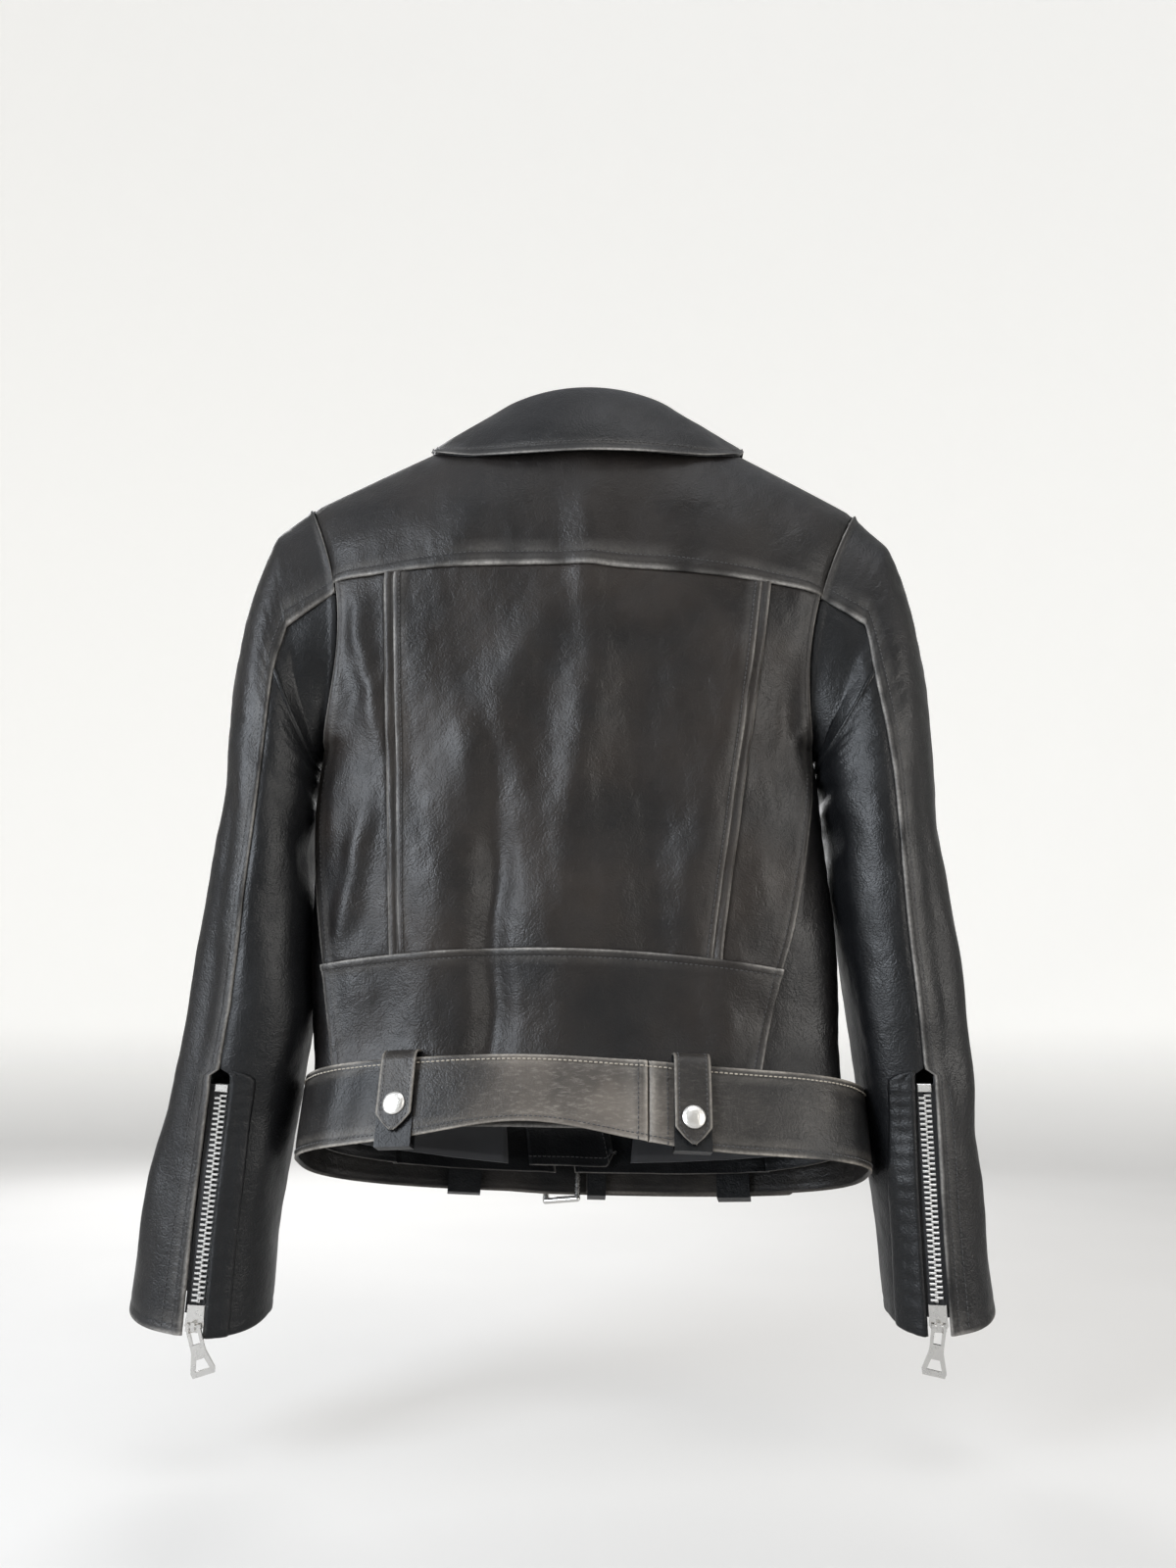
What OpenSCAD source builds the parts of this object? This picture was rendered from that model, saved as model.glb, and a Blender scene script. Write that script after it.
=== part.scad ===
// Cropped leather riding jacket, hanging as it does from a coat hanger, in millimetres.
// +Z is up, +X is the wearer's left and +Y is the back. The origin is the centre of the
// hanging loop, inside the back of the neck. Every leather panel is a curved sheet of its own.

/* [Body] */
// Width across the shoulders, seam to seam
shoulder_w = 402; // [385:1:420]
// Fall of the shoulder line for each millimetre outwards
shoulder_fall = 0.5; // [0.44:0.01:0.56]
// Half width of the neck where the shoulder seams start
neck_half = 72; // [66:1:76]
// Thickness of the leather panels
leather_t = 1.8; // [1.2:0.1:2]
// How far the back slews sideways for each millimetre of drop
slew = 0.055; // [0:0.005:0.06]
// How much lower the right shoulder hangs than the left
shoulder_drop = 8; // [0:1:10]
// Sideways sway of the body at the armpits
sway = 14; // [4:1:15]

/* [Sleeves] */
// Height of the armpits, measured from the loop
armpit_z = -240; // [-245:1:-236]
// Extra outward hang of the left sleeve and inward hang of the right sleeve at the cuff
sleeve_drift = 16; // [0:1:18]
// Length of the sleeve zip chain
sleeve_zip_len = 130; // [110:1:134]

/* [Belt] */
// Width of the belt
belt_w = 53; // [44:1:54]
// Half length of the belt ring, across the jacket
belt_a = 186; // [185:1:190]
// Half depth of the belt ring, front to back
belt_b = 72; // [72:1:76]
// Backward tilt of the belt ring, in degrees
belt_tilt = 18; // [17:1:22]
// Sideways tilt of the belt ring, left side up, in degrees
belt_roll = 1.3; // [0:0.1:1.5]

/* [Zips] */
// Distance from tooth to tooth along one side of a chain
tooth_pitch = 3.2; // [2.8:0.1:3.6]
// Width of a closed chain
chain_w = 8.4; // [7.6:0.1:8.6]

/* [Hidden] */

LEATHER = [0.12, 0.11, 0.11];
LINING = [0.06, 0.06, 0.07];
METAL = [0.8, 0.79, 0.77];
TAPE = [0.05, 0.05, 0.05];

mid_y = -35;                     // plane of the hanger, through both side edges
tip_x = shoulder_w / 2;          // shoulder point
tip_z = -56;
ridge_depth = 110;               // drop over which the shoulder rounds out to full depth
yoke_z = -121;                   // yoke seam at the centre back
waist_z = -381;                  // seam above the waist panel, at the centre back
hem_z = -512;                    // hem at the side edges
hem_rise = tan(belt_tilt);       // the hem lies in the tilted plane of the belt
seam_gap = 1.2;                  // clear line between neighbouring panels
ridge_off = 0.015;               // keeps the two sides of a shoulder seam apart
break_pt = [58, -236];           // where the front zip ends and the lapels turn back
zip_foot = [20, -502];           // lower end of the front zip
roll_right = [-62, -10];         // upper end of the right lapel's roll line
roll_left = [68, -10];           // upper end of the left lapel's roll line
lapel_lift = 3.2;                // height of the lapels above the front panels
section_power = 2.5;             // roundness of the body's cross-section

// ---------- curves ----------
function clamp01(t) = min(1, max(0, t));
function smooth(a, b, x) = let (t = clamp01((x - a) / (b - a))) t * t * (3 - 2 * t);
function mix(a, b, t) = a + (b - a) * t;
function unit(v) = v / norm(v);
function spow(v, p) = sign(v) * pow(abs(v), p);

// Smooth curve through a short list of [place, value] knots, places rising.
function knot_slope(k, i) =
    let (a = max(i - 1, 0), b = min(i + 1, len(k) - 1)) (k[b][1] - k[a][1]) / (k[b][0] - k[a][0]);
function knot_span(k, x, i = 0) = i >= len(k) - 2 || x <= k[i + 1][0] ? i : knot_span(k, x, i + 1);
function through(k, x) =
    x <= k[0][0] ? k[0][1] :
    x >= k[len(k) - 1][0] ? k[len(k) - 1][1] :
    let (
        i = knot_span(k, x),
        h = k[i + 1][0] - k[i][0],
        t = (x - k[i][0]) / h
    )
    k[i][1] * (1 + 2 * t) * (1 - t) * (1 - t) + k[i + 1][1] * t * t * (3 - 2 * t)
    + h * t * (1 - t) * (knot_slope(k, i) * (1 - t) - knot_slope(k, i + 1) * t);

// ---------- shape of the body ----------
// The body is two height fields, back (face 1) and front (face -1), over the plane of X and Z.
function body_sway(z) = through([[-520, 5], [-400, 9], [-240, sway], [-130, 6], [-50, 2]], z);
function side_drop(x) = x < 0 ? shoulder_drop * clamp01((-x - neck_half) / (tip_x - neck_half)) : 0;
function ridge_z(x) = tip_z + shoulder_fall * (tip_x - abs(x)) - side_drop(x);
function armhole_half(z) =
    let (t = clamp01((z - armpit_z) / (tip_z - armpit_z)))
    mix(172, tip_x, pow(t, 1.6)) - 14 * sin(180 * t);
function edge_half(z) =
    z > armpit_z ? armhole_half(z)
    : through([[-520, 173], [-400, 178], [-300, 177], [armpit_z, 172]], z);
function edge_x(side, z) = body_sway(z) + side * edge_half(z);
function edge_depth(z) =
    z <= armpit_z ? 0 : z > -148 ? 40 : 40 * sqrt(1 - pow((-148 - z) / (-148 - armpit_z), 2));
function full_depth(face, z) =
    face > 0
    ? through([[-560, 64], [-490, 61], [-440, 44], [-385, 46], [-250, 54], [-120, 56], [40, 56]], z)
    : through([[-560, 46], [-540, 48], [-500, 62], [-200, 50], [-100, 46], [40, 44]], z);
function ridge_round(x, z) = let (q = clamp01((ridge_z(x) - z) / ridge_depth)) sqrt(1 - pow(1 - q, 2));
function body_depth(face, x, z) =
    let (
        mid = body_sway(z),
        u = min(1, abs(x - mid) / edge_half(z)),
        e = edge_depth(z)
    )
    ridge_round(x, z) * (e + (full_depth(face, z) - e) * pow(1 - pow(u, section_power), 1 / section_power));
function body_pt(face, x, z, lift = 0) =
    let (
        d = 0.8,
        sx = (body_depth(face, x + d, z) - body_depth(face, x - d, z)) / (2 * d),
        sz = (body_depth(face, x, z + d) - body_depth(face, x, z - d)) / (2 * d),
        n = unit([-sx, 1, -sz])
    )
    [x + n[0] * lift, mid_y + face * (body_depth(face, x, z) + n[1] * lift), z + n[2] * lift];
function body_normal(face, x, z) = unit(body_pt(face, x, z, 1) - body_pt(face, x, z, 0));
function hem_at(face, x) =
    let (u = min(1, abs(x - body_sway(-510)) / edge_half(-510)))
    hem_z + tan(belt_roll) * x + face * hem_rise * 58 * pow(1 - pow(u, section_power), 1 / section_power);

// ---------- seam lines, as [x, z] at a share t of their length ----------
function neckline_z(x) = 8.5 * pow(x / neck_half, 2);
function yoke_seam_z(x) = yoke_z - 12.5 * pow(x / 170, 2) + 0.035 * x;
function waist_seam_z(x) = waist_z - 11 * pow((x - 38) / 150, 2);
function pleat_x(side, z) = -slew * z + side * mix(134, 109, clamp01((-130 - z) / 255));
function back_seam_x(side, z) =
    z > armpit_z ? edge_x(side, z) - side * 1.5
    : -slew * z + 2 + side * through([
        [-460, 138], [-400, 151], [-350, 162],
        [-285, side > 0 ? 171 : 170],
        [armpit_z, side > 0 ? 168.5 : 171.7]
    ], z);
function front_seam_x(side, z) =
    edge_x(side, z) - side * through([[-520, 42], [-400, 30], [armpit_z, 6]], z);
function yoke_top(x) =
    let (ridge = ridge_z(x) - ridge_off)
    [x, abs(x) > neck_half ? ridge : min(neckline_z(x), ridge)];
// The straight line of a pleat from the waist seam (share 0) up to the yoke seam (share 1).
function pleat_line(side, low_z) =
    function(t)
        let (z = mix(waist_seam_z(pleat_x(side, low_z)), yoke_seam_z(pleat_x(side, -130)), t))
        [pleat_x(side, z), z];

// A four-sided patch of the X-Z plane between its bottom, top, left and right lines.
function coons(bottom, top, left, right, u, w) =
    mix(bottom(u), top(u), w) + mix(left(w), right(w), u)
    - mix(mix(bottom(0), bottom(1), u), mix(top(0), top(1), u), w);

// ---------- solids ----------
// A sheet of even thickness under a grid of points. hint points out of the sheet's outer side.
function grid_normal(p, i, j) =
    let (
        a = p[min(i + 1, len(p) - 1)][j] - p[max(i - 1, 0)][j],
        b = p[i][min(j + 1, len(p[0]) - 1)] - p[i][max(j - 1, 0)]
    )
    unit(cross(a, b));
module sheet(p, t, hint) {
    m = len(p);
    n = len(p[0]);
    turn = sign(grid_normal(p, floor(m / 2), floor(n / 2)) * hint);
    outer = [for (i = [0:m - 1], j = [0:n - 1]) p[i][j]];
    inner = [for (i = [0:m - 1], j = [0:n - 1]) p[i][j] - turn * t * grid_normal(p, i, j)];
    mn = m * n;
    quads = concat(
        [for (i = [0:m - 2], j = [0:n - 2]) [i * n + j, i * n + j + 1, (i + 1) * n + j + 1, (i + 1) * n + j]],
        [for (i = [0:m - 2], j = [0:n - 2])
            [mn + i * n + j, mn + (i + 1) * n + j, mn + (i + 1) * n + j + 1, mn + i * n + j + 1]],
        [for (i = [0:m - 2]) [i * n, (i + 1) * n, mn + (i + 1) * n, mn + i * n]],
        [for (i = [0:m - 2], a = [i * n + n - 1]) [a, mn + a, mn + a + n, a + n]],
        [for (j = [0:n - 2]) [j, mn + j, mn + j + 1, j + 1]],
        [for (j = [0:n - 2], a = [(m - 1) * n + j]) [a, a + 1, mn + a + 1, mn + a]]
    );
    faces = [for (q = quads, half = [[0, 1, 2], [0, 2, 3]])
        turn > 0 ? [q[half[0]], q[half[1]], q[half[2]]] : [q[half[2]], q[half[1]], q[half[0]]]];
    polyhedron(concat(outer, inner), faces);
}

// A body panel between four lines, kept seam_gap clear of them. With a ridge at its top edge,
// the rows close up towards the ridge.
module body_panel(face, bottom, top, left, right, cols, rows, ridge = false, lift = 0, t = leather_t) {
    wide = max(norm(bottom(1) - bottom(0)), norm(top(1) - top(0)));
    tall = norm(left(1) - left(0));
    eu = seam_gap / 2 / wide;
    ew = seam_gap / 2 / tall;
    sheet([for (i = [0:rows]) [for (j = [0:cols])
        let (
            w = ridge ? sin(90 * mix(ew, 1, i / rows)) : mix(ew, 1 - ew, i / rows),
            q = coons(bottom, top, left, right, mix(eu, 1 - eu, j / cols), w)
        )
        body_pt(face, q[0], min(q[1], ridge_z(q[0]) - ridge_off), lift)]], t, [0, face, 0]);
}

function yoke_line(xa, xb) = function(t) let (x = mix(xa, xb, t)) [x, yoke_seam_z(x)];
function waist_line(xa, xb) = function(t) let (x = mix(xa, xb, t)) [x, waist_seam_z(x)];
function hem_line(face, xa, xb) = function(t) let (x = mix(xa, xb, t)) [x, hem_at(face, x)];
function edge_line(side, za, zb) = function(t) let (z = mix(za, zb, t)) [edge_x(side, z), z];
function back_seam_line(side, za, zb) = function(t) let (z = mix(za, zb, t)) [back_seam_x(side, z), z];

// Where the shoulder seam meets the armhole.
function shoulder_pt(side) =
    let (z = ridge_z(edge_x(side, ridge_z(side * tip_x)))) [edge_x(side, z), z - ridge_off];

yoke_end = [yoke_seam_z(edge_x(1, -130)), yoke_seam_z(edge_x(-1, -130))];
function yoke_end_z(side) = side > 0 ? yoke_end[0] : yoke_end[1];

module back_yoke() {
    color(LEATHER)
    body_panel(1,
        yoke_line(edge_x(1, yoke_end[0]), edge_x(-1, yoke_end[1])),
        function(t) yoke_top(mix(shoulder_pt(1)[0], shoulder_pt(-1)[0], t)),
        edge_line(1, yoke_end[0], shoulder_pt(1)[1]),
        edge_line(-1, yoke_end[1], shoulder_pt(-1)[1]),
        28, 10, true);
}
module back_centre_panel() {
    color(LEATHER)
    body_panel(1,
        waist_line(pleat_x(1, -387), pleat_x(-1, -392)),
        yoke_line(pleat_x(1, -130), pleat_x(-1, -130)),
        pleat_line(1, -387),
        pleat_line(-1, -392),
        14, 12);
}
module back_side_panel(side) {
    za = waist_seam_z(back_seam_x(side, -392));
    zb = yoke_end_z(side);
    color(LEATHER)
    body_panel(1,
        waist_line(pleat_x(side, -390), back_seam_x(side, za)),
        yoke_line(pleat_x(side, -130), back_seam_x(side, zb)),
        pleat_line(side, -390),
        back_seam_line(side, za, zb),
        6, 14);
}
module back_waist_panel() {
    xa = back_seam_x(1, -500);
    xb = back_seam_x(-1, -500);
    xc = back_seam_x(1, -395);
    xd = back_seam_x(-1, -400);
    color(LEATHER)
    body_panel(1,
        hem_line(1, xa, xb),
        waist_line(xc, xd),
        back_seam_line(1, hem_at(1, xa), waist_seam_z(xc)),
        back_seam_line(-1, hem_at(1, xb), waist_seam_z(xd)),
        20, 8);
}

// Point on the body's cross-section below the armpits; angle 0 is the side edge, 90 the back, -90 the front.
function ring_pt(side, angle, z) =
    let (face = sin(angle) >= 0 ? 1 : -1, p = 2 / section_power)
    [body_sway(z) + side * edge_half(z) * spow(cos(angle), p),
        mid_y + full_depth(face, z) * spow(sin(angle), p), z];
function ring_angle(side, x, z) =
    acos(clamp01(pow(clamp01(abs(x - body_sway(z)) / edge_half(z)), section_power / 2)));
// Height of a row of the side panel, a share t of the way up from the hem, where the row crosses x.
function side_row_z(face, x, t) = mix(hem_at(face, x), armpit_z - 6, t);
function side_seam_row_z(side, face, t, z, tries = 4) =
    let (x = face > 0 ? back_seam_x(side, z) : front_seam_x(side, z), next = side_row_z(face, x, t))
    tries == 0 ? next : side_seam_row_z(side, face, t, next, tries - 1);
module side_panel(side) {
    color(LEATHER)
    sheet([for (i = [0:12])
        let (
            t = i / 12,
            zb = side_seam_row_z(side, 1, t, mix(hem_z, armpit_z, t)),
            zf = side_seam_row_z(side, -1, t, mix(hem_z, armpit_z, t)),
            ab = ring_angle(side, back_seam_x(side, zb) + side * seam_gap, zb),
            af = ring_angle(side, front_seam_x(side, zf) + side * seam_gap, zf)
        )
        [for (j = [0:10])
            let (
                angle = mix(ab, -af, j / 10),
                share = (sin(angle) + sin(af)) / (sin(ab) + sin(af))
            )
            ring_pt(side, angle, mix(zf, zb, share))]], leather_t, [side, 0, 0]);
}

// ---------- fronts ----------
function zip_line_x(z) = mix(zip_foot[0], break_pt[0], (z - zip_foot[1]) / (break_pt[1] - zip_foot[1]));
zip_half_gap = 6.6;
function front_inner(side, t) =
    let (
        foot_z = hem_at(-1, zip_line_x(-540)),
        roll = side > 0 ? roll_left : roll_right,
        break_share = 0.62,
        low = [zip_line_x(foot_z) + side * zip_half_gap, foot_z],
        knee = [break_pt[0] + side * zip_half_gap, break_pt[1]]
    )
    t < break_share
    ? mix(low, knee, t / break_share)
    : mix(knee, roll, (t - break_share) / (1 - break_share));
function front_outer(side, t) =
    let (z = mix(hem_at(-1, front_seam_x(side, -515)), shoulder_pt(side)[1], t))
    z < armpit_z - 4 ? [front_seam_x(side, z), z]
    : [mix(front_seam_x(side, armpit_z - 4), edge_x(side, z), smooth(armpit_z - 4, armpit_z + 20, z)), z];
module front_panel(side) {
    color(LEATHER)
    difference() {
        body_panel(-1,
            hem_line(-1, front_outer(side, 0)[0], front_inner(side, 0)[0]),
            function(t)
                let (x = mix(shoulder_pt(side)[0], front_inner(side, 1)[0], t))
                [x, ridge_z(x) - ridge_off],
            function(t) front_outer(side, t),
            function(t) front_inner(side, t),
            12, 18, true);
        at_frame(pocket_frame(side)) translate([-6, -7, -8]) cube([pocket_len + 26, 14, 16]);
    }
}
module front_underlap() {
    top_z = break_pt[1] + 20;
    color(LEATHER)
    sheet([for (i = [0:12]) [for (j = [0:4])
        let (
            x0 = mix(-20, zip_line_x(mix(-536, top_z, i / 12)) + 26, j / 4),
            x = x0 + (1 - j / 4) * 62 * i / 12,
            z = mix(hem_at(-1, x) + 2, top_z, i / 12)
        )
        body_pt(-1, x, z, -7)]], leather_t, [0, -1, 0]);
}

// Lapels: triangular sheets turned back along the roll line; share w runs from the break upwards.
lapel_tip_right = [-126, -104];
lapel_tip_left = [134, -104];
function lapel_pt(side, u, w) =
    let (
        roll = side > 0 ? roll_left : roll_right,
        tip = side > 0 ? lapel_tip_left : lapel_tip_right,
        start = [break_pt[0] + side * (zip_half_gap + 1), break_pt[1]],
        on_roll = mix(start, mix(roll, start, 0.16), w) + [side * 2, 0],
        on_edge = mix(start, tip, w) + [side, -0.6] * 9 * sin(180 * w),
        q = mix(on_roll, on_edge, u)
    )
    body_pt(-1, q[0], q[1], lapel_lift);
module lapel(side) {
    color(LEATHER)
    sheet([for (i = [0:10]) [for (j = [0:6]) lapel_pt(side, j / 6, mix(0.05, 1, i / 10))]],
        leather_t, [0, -1, 0]);
}
// A press snap: a domed cap standing on a face, with its axis along the face's normal.
module snap_cap(r, h) {
    rotate_extrude($fn = 48)
    polygon(concat([[0, 0], [r * 0.86, 0], [r, h * 0.3]],
        [for (a = [15:15:90]) [r * cos(a), h * 0.3 + h * 0.7 * sin(a)]]));
}
module snap_on_body(x, z, lift, r = 6, h = 2.6) {
    color(METAL) at_frame(point_frame(-1, x, z, lift)) snap_cap(r, h);
}
function lapel_snap_xz(side) =
    let (q = lapel_pt(side, 0.84, 0.9)) [q[0], q[2]];
module lapel_snap(side) {
    q = lapel_snap_xz(side);
    snap_on_body(q[0], q[1], lapel_lift + 0.15);
}

// ---------- collar ----------
// Angle 0 is the centre back, +90 the left shoulder; beyond 90 the collar comes round to the front.
collar_end = 138;
function collar_root(a) = [neck_half * 0.99 * spow(sin(a), 0.9), mid_y + 45 * cos(a) * (cos(a) > 0 ? 1 : 0.8),
    2 + 8 * pow(sin(a), 2) - 26 * smooth(90, collar_end, abs(a))];
function collar_fold(a) = [66 * sin(a), mid_y + 41 * cos(a) * (cos(a) > 0 ? 1 : 1.05),
    25 - 5 * pow(sin(a), 2) - 32 * smooth(90, collar_end, abs(a))];
function collar_edge(a) =
    let (s = abs(a), back = s <= 90, x = 117 * sin(min(s, 90)) - (back ? 0 : 20 * smooth(90, collar_end, s)))
    [sign(a) * x, mid_y + (back ? 63 * cos(s) : -52 * smooth(90, 128, s)),
        -38 + 33 * pow(1 - cos(min(s, 90)), 1.4) - (back ? 0 : 78 * smooth(90, collar_end, s))];
module collar_stand() {
    color(LEATHER)
    sheet([for (i = [0:3]) [for (j = [0:26])
        let (a = mix(-collar_end, collar_end, j / 26))
        mix(collar_root(a), collar_fold(a) - [0, 0, 4], i / 3)]],
        leather_t, [0, 1, 0]);
}
function collar_fall_pt(a, w) =
    let (
        f = collar_fold(a),
        e = collar_edge(a),
        out = [e[0] - f[0], e[1] - f[1], 0],
        bulge = (2 + 2 * pow(cos(a), 2)) * sin(180 * w)
    )
    off_body(mix(f, e, w) + unit(norm(out) > 1 ? out : [0, 1, 0]) * bulge + [0, 0, bulge * 0.8]);
// Moves a point of the collar out until it clears the body, and the lapels in front.
function off_body(p) =
    let (face = p[1] >= mid_y ? 1 : -1, lift = face > 0 ? 4.2 : 6.4, depth = body_depth(face, p[0], p[2]))
    p[2] > ridge_z(p[0]) - 0.5 ? p : [p[0], mid_y + face * max(abs(p[1] - mid_y), depth + lift), p[2]];
module collar_fall() {
    color(LEATHER)
    sheet([for (i = [0:6]) [for (j = [0:34]) collar_fall_pt(mix(-collar_end, collar_end, j / 34), i / 6)]],
        leather_t, [0, 1, 0.4]);
}
module collar_snaps() {
    for (side = [-1, 1]) {
        p = collar_fall_pt(side * (collar_end - 10), 0.8);
        q = collar_fall_pt(side * (collar_end - 12), 0.8);
        r = collar_fall_pt(side * (collar_end - 10), 0.76);
        n = unit(cross(q - p, r - p));
        o = n[1] > 0 ? -n : n;
        color(METAL) at_frame([p + o * 0.6, unit(q - p), o]) snap_cap(6, 2.6);
    }
}

// ---------- sleeves ----------
// Stations from the armhole to the cuff: outer edge [x, z], inner edge [x, z], half depth.
STATIONS = [
    [[201, -56], [172, -240], 40],
    [[222, -80], [174, -246], 44],
    [[237, -130], [176, -254], 50],
    [[245, -195], [178, -268], 54],
    [[249, -270], [179, -295], 55],
    [[255, -350], [180, -360], 52],
    [[262, -450], [188, -450], 47],
    [[269, -525], [196, -528], 42],
    [[277, -606], [202, -614], 38]
];
last_station = len(STATIONS) - 1;
// Value k of the stations (its part c, when it is a point) at a place v along the sleeve.
function station_value(k, c, v) =
    through([for (i = [0:last_station]) [i, c < 0 ? STATIONS[i][k] : STATIONS[i][k][c]]], v);
function outer_drift(side, v) =
    side > 0 ? 2 * smooth(0, 1, v) + (sleeve_drift - 3) * smooth(5, 7.5, v)
    : -7 * smooth(0, 1, v) - 5 * smooth(3, 5, v) - (sleeve_drift - 10) * smooth(6, 7.5, v);
function station_drop(side, v) = side > 0 ? 0 : shoulder_drop * (1 - smooth(0, 4, v));
function outer_pt(side, v) =
    [side * (station_value(0, 0, v) + outer_drift(side, v)), station_value(0, 1, v) - station_drop(side, v)];
// The inner edge keeps clear of the body's side edge above the waist.
function inner_pt(side, v) =
    let (z = station_value(1, 1, v), free = station_value(1, 0, v) + side * 6,
        by_body = side * edge_x(side, min(z, armpit_z)) + 5)
    [side * mix(by_body, max(free, by_body), smooth(4, 6, v)), z];
function station_pt(side, a, v) =
    let (
        o = outer_pt(side, v),
        i = inner_pt(side, v),
        half = (o - i) / 2,
        c = (o + i) / 2,
        p = norm(half) * spow(cos(a), section_n),
        q = station_value(2, -1, v) * spow(sin(a), section_n),
        dir = unit(half),
        dip = 9 * max(0, sin(a)) * smooth(6.6, 8, v)
    )
    [c[0] + dir[0] * p, mid_y + q, c[1] + dir[1] * p - dip];
// The armhole: angle 0 is the shoulder point, 90 the back and 180 the armpit.
function armhole_pt(side, a) =
    let (
        top = ridge_z(side * tip_x),
        z = mix((top + armpit_z) / 2, top, cos(a)),
        x = edge_x(side, z),
        r = ridge_round(x, z) * edge_depth(z)
    )
    [x, mid_y + sign(sin(a)) * r, z];
function sleeve_pt(side, a, v) =
    v >= 1 ? station_pt(side, a, v) : mix(armhole_pt(side, a), station_pt(side, a, 1), v);
// Angle of the back seam, which the sleeve zip carries on in a straight line.
function back_seam_angle(side, v) =
    through([[0, 82], [1, side > 0 ? 89.5 : 87], [2, 92.5], [3, side > 0 ? 97 : 93], [4, side > 0 ? 97 : 91],
        [5, 92], [6, side > 0 ? 89 : 93], [6.3, side > 0 ? 92 : 96], [8, side > 0 ? 98 : 108]], v);
front_seam_angle = -112;
zip_top_v = 6.28;
cuff_v = 7.97;
start_v = 0.16;                  // the sleeve starts just clear of the armhole, so that it can swing
section_n = 0.86;                // roundness of the sleeve's cross-section
// Angle a distance off outwards (or inwards, if negative) of the back seam.
function beside_seam(side, v, off) =
    let (
        w = max(v, 1),
        half = norm(outer_pt(side, w) - inner_pt(side, w)) / 2,
        p = spow(cos(back_seam_angle(side, v)), section_n) + off / half
    )
    acos(max(-1, min(1, spow(p, 1 / section_n))));
function zip_gap(v) = 0.9 + 8 * smooth(zip_top_v - 0.28, zip_top_v - 0.14, v);
function steps(a, b, n) = [for (i = [0:n]) mix(a, b, i / n)];
// Rows of a long sleeve panel, with a close pair where its edge steps back from the zip.
function long_rows(v0, n) = concat(steps(v0, zip_top_v - 0.28, n), steps(zip_top_v - 0.14, cuff_v, 5));
function sleeve_grid(side, from, to, rows, cols, lift = 0) =
    [for (v = rows) [for (j = [0:cols]) sleeve_lifted(side, mix(from(v), to(v), j / cols), v, lift)]];
function sleeve_lifted(side, a, v, lift) =
    lift == 0 ? sleeve_pt(side, a, v)
    : let (
        p = sleeve_pt(side, a, v),
        c = mix(sleeve_pt(side, a + 90, v), sleeve_pt(side, a - 90, v), 0.5),
        n = unit(cross(sleeve_pt(side, a + 3, v) - sleeve_pt(side, a - 3, v),
            sleeve_pt(side, a, v + 0.05) - sleeve_pt(side, a, v - 0.05)))
    )
    p + n * sign(n * (p - c)) * lift;
module top_sleeve(side) {
    color(LEATHER)
    sheet(sleeve_grid(side,
        function(v) front_seam_angle + 1.3,
        function(v) beside_seam(side, v, zip_gap(v)),
        long_rows(start_v, 14), 12), leather_t, [side, 0, 0]);
}
gusset_v = 1.9;
module under_sleeve(side) {
    color(LEATHER)
    sheet(sleeve_grid(side,
        function(v) beside_seam(side, v, -zip_gap(v)),
        function(v) 360 + front_seam_angle - 1.3,
        long_rows(gusset_v + 0.03, 11), 10), leather_t, [-side, 0, 0]);
}
module sleeve_gusset(side) {
    color(LEATHER)
    sheet(sleeve_grid(side,
        function(v) beside_seam(side, v, -0.9),
        function(v) 360 + front_seam_angle - 1.3,
        steps(start_v, gusset_v - 0.03, 5), 10), leather_t, [-side, 0, 0]);
}
module sleeve_lining(side) {
    color(LINING)
    sheet(sleeve_grid(side,
        function(v) back_seam_angle(side, v) + 12,
        function(v) 360 + back_seam_angle(side, v) - 12,
        steps(0.6, cuff_v - 0.12, 10), 16, -6), 0.8, [-side, 0, 0]);
}

// ---------- frames for hardware ----------
// A frame is [origin, direction of its X axis, direction of its Z axis].
module at_frame(f) {
    z = unit(f[2] - (f[2] * f[1]) * f[1]);
    y = cross(z, f[1]);
    multmatrix([
        [f[1][0], y[0], z[0], f[0][0]],
        [f[1][1], y[1], z[1], f[0][1]],
        [f[1][2], y[2], z[2], f[0][2]]
    ])
    children();
}
function line_frame(a, b, n, sink) = let (x = unit(b - a), z = unit(n - (n * x) * x)) [a - z * sink, x, z];
function point_frame(face, x, z, lift) =
    let (n = body_normal(face, x, z))
    [body_pt(face, x, z, lift), unit(cross([0, 0, 1], n)), n];
tape_sink = 3;                   // depth of the tape's underside below the leather's outer face

function sleeve_zip_frame(side) =
    let (
        a = sleeve_pt(side, back_seam_angle(side, zip_top_v), zip_top_v),
        b = sleeve_pt(side, back_seam_angle(side, cuff_v - 0.03), cuff_v - 0.03),
        mid = back_seam_angle(side, 7.1),
        across = sleeve_pt(side, mid - 6, 7.1) - sleeve_pt(side, mid + 6, 7.1),
        n = cross(b - a, across)
    )
    line_frame(a, b, n[1] > 0 ? n : -n, tape_sink);
front_chain_len = norm([break_pt[0] - zip_foot[0], break_pt[1] - zip_foot[1]]) - 16;
function front_zip_frame() =
    line_frame(body_pt(-1, zip_foot[0], zip_foot[1]), body_pt(-1, break_pt[0], break_pt[1]),
        body_normal(-1, zip_line_x(-370), -370), tape_sink);
pocket_len = 104;
function pocket_frame(side) =
    let (
        top = [side > 0 ? 98 : -84, -318],
        low = top + [side * 46, -112],
        a = body_pt(-1, top[0], top[1]),
        b = body_pt(-1, low[0], low[1]),
        m = mix(top, low, 0.5)
    )
    line_frame(a, b, body_normal(-1, m[0], m[1]), tape_sink + 0.3);

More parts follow.
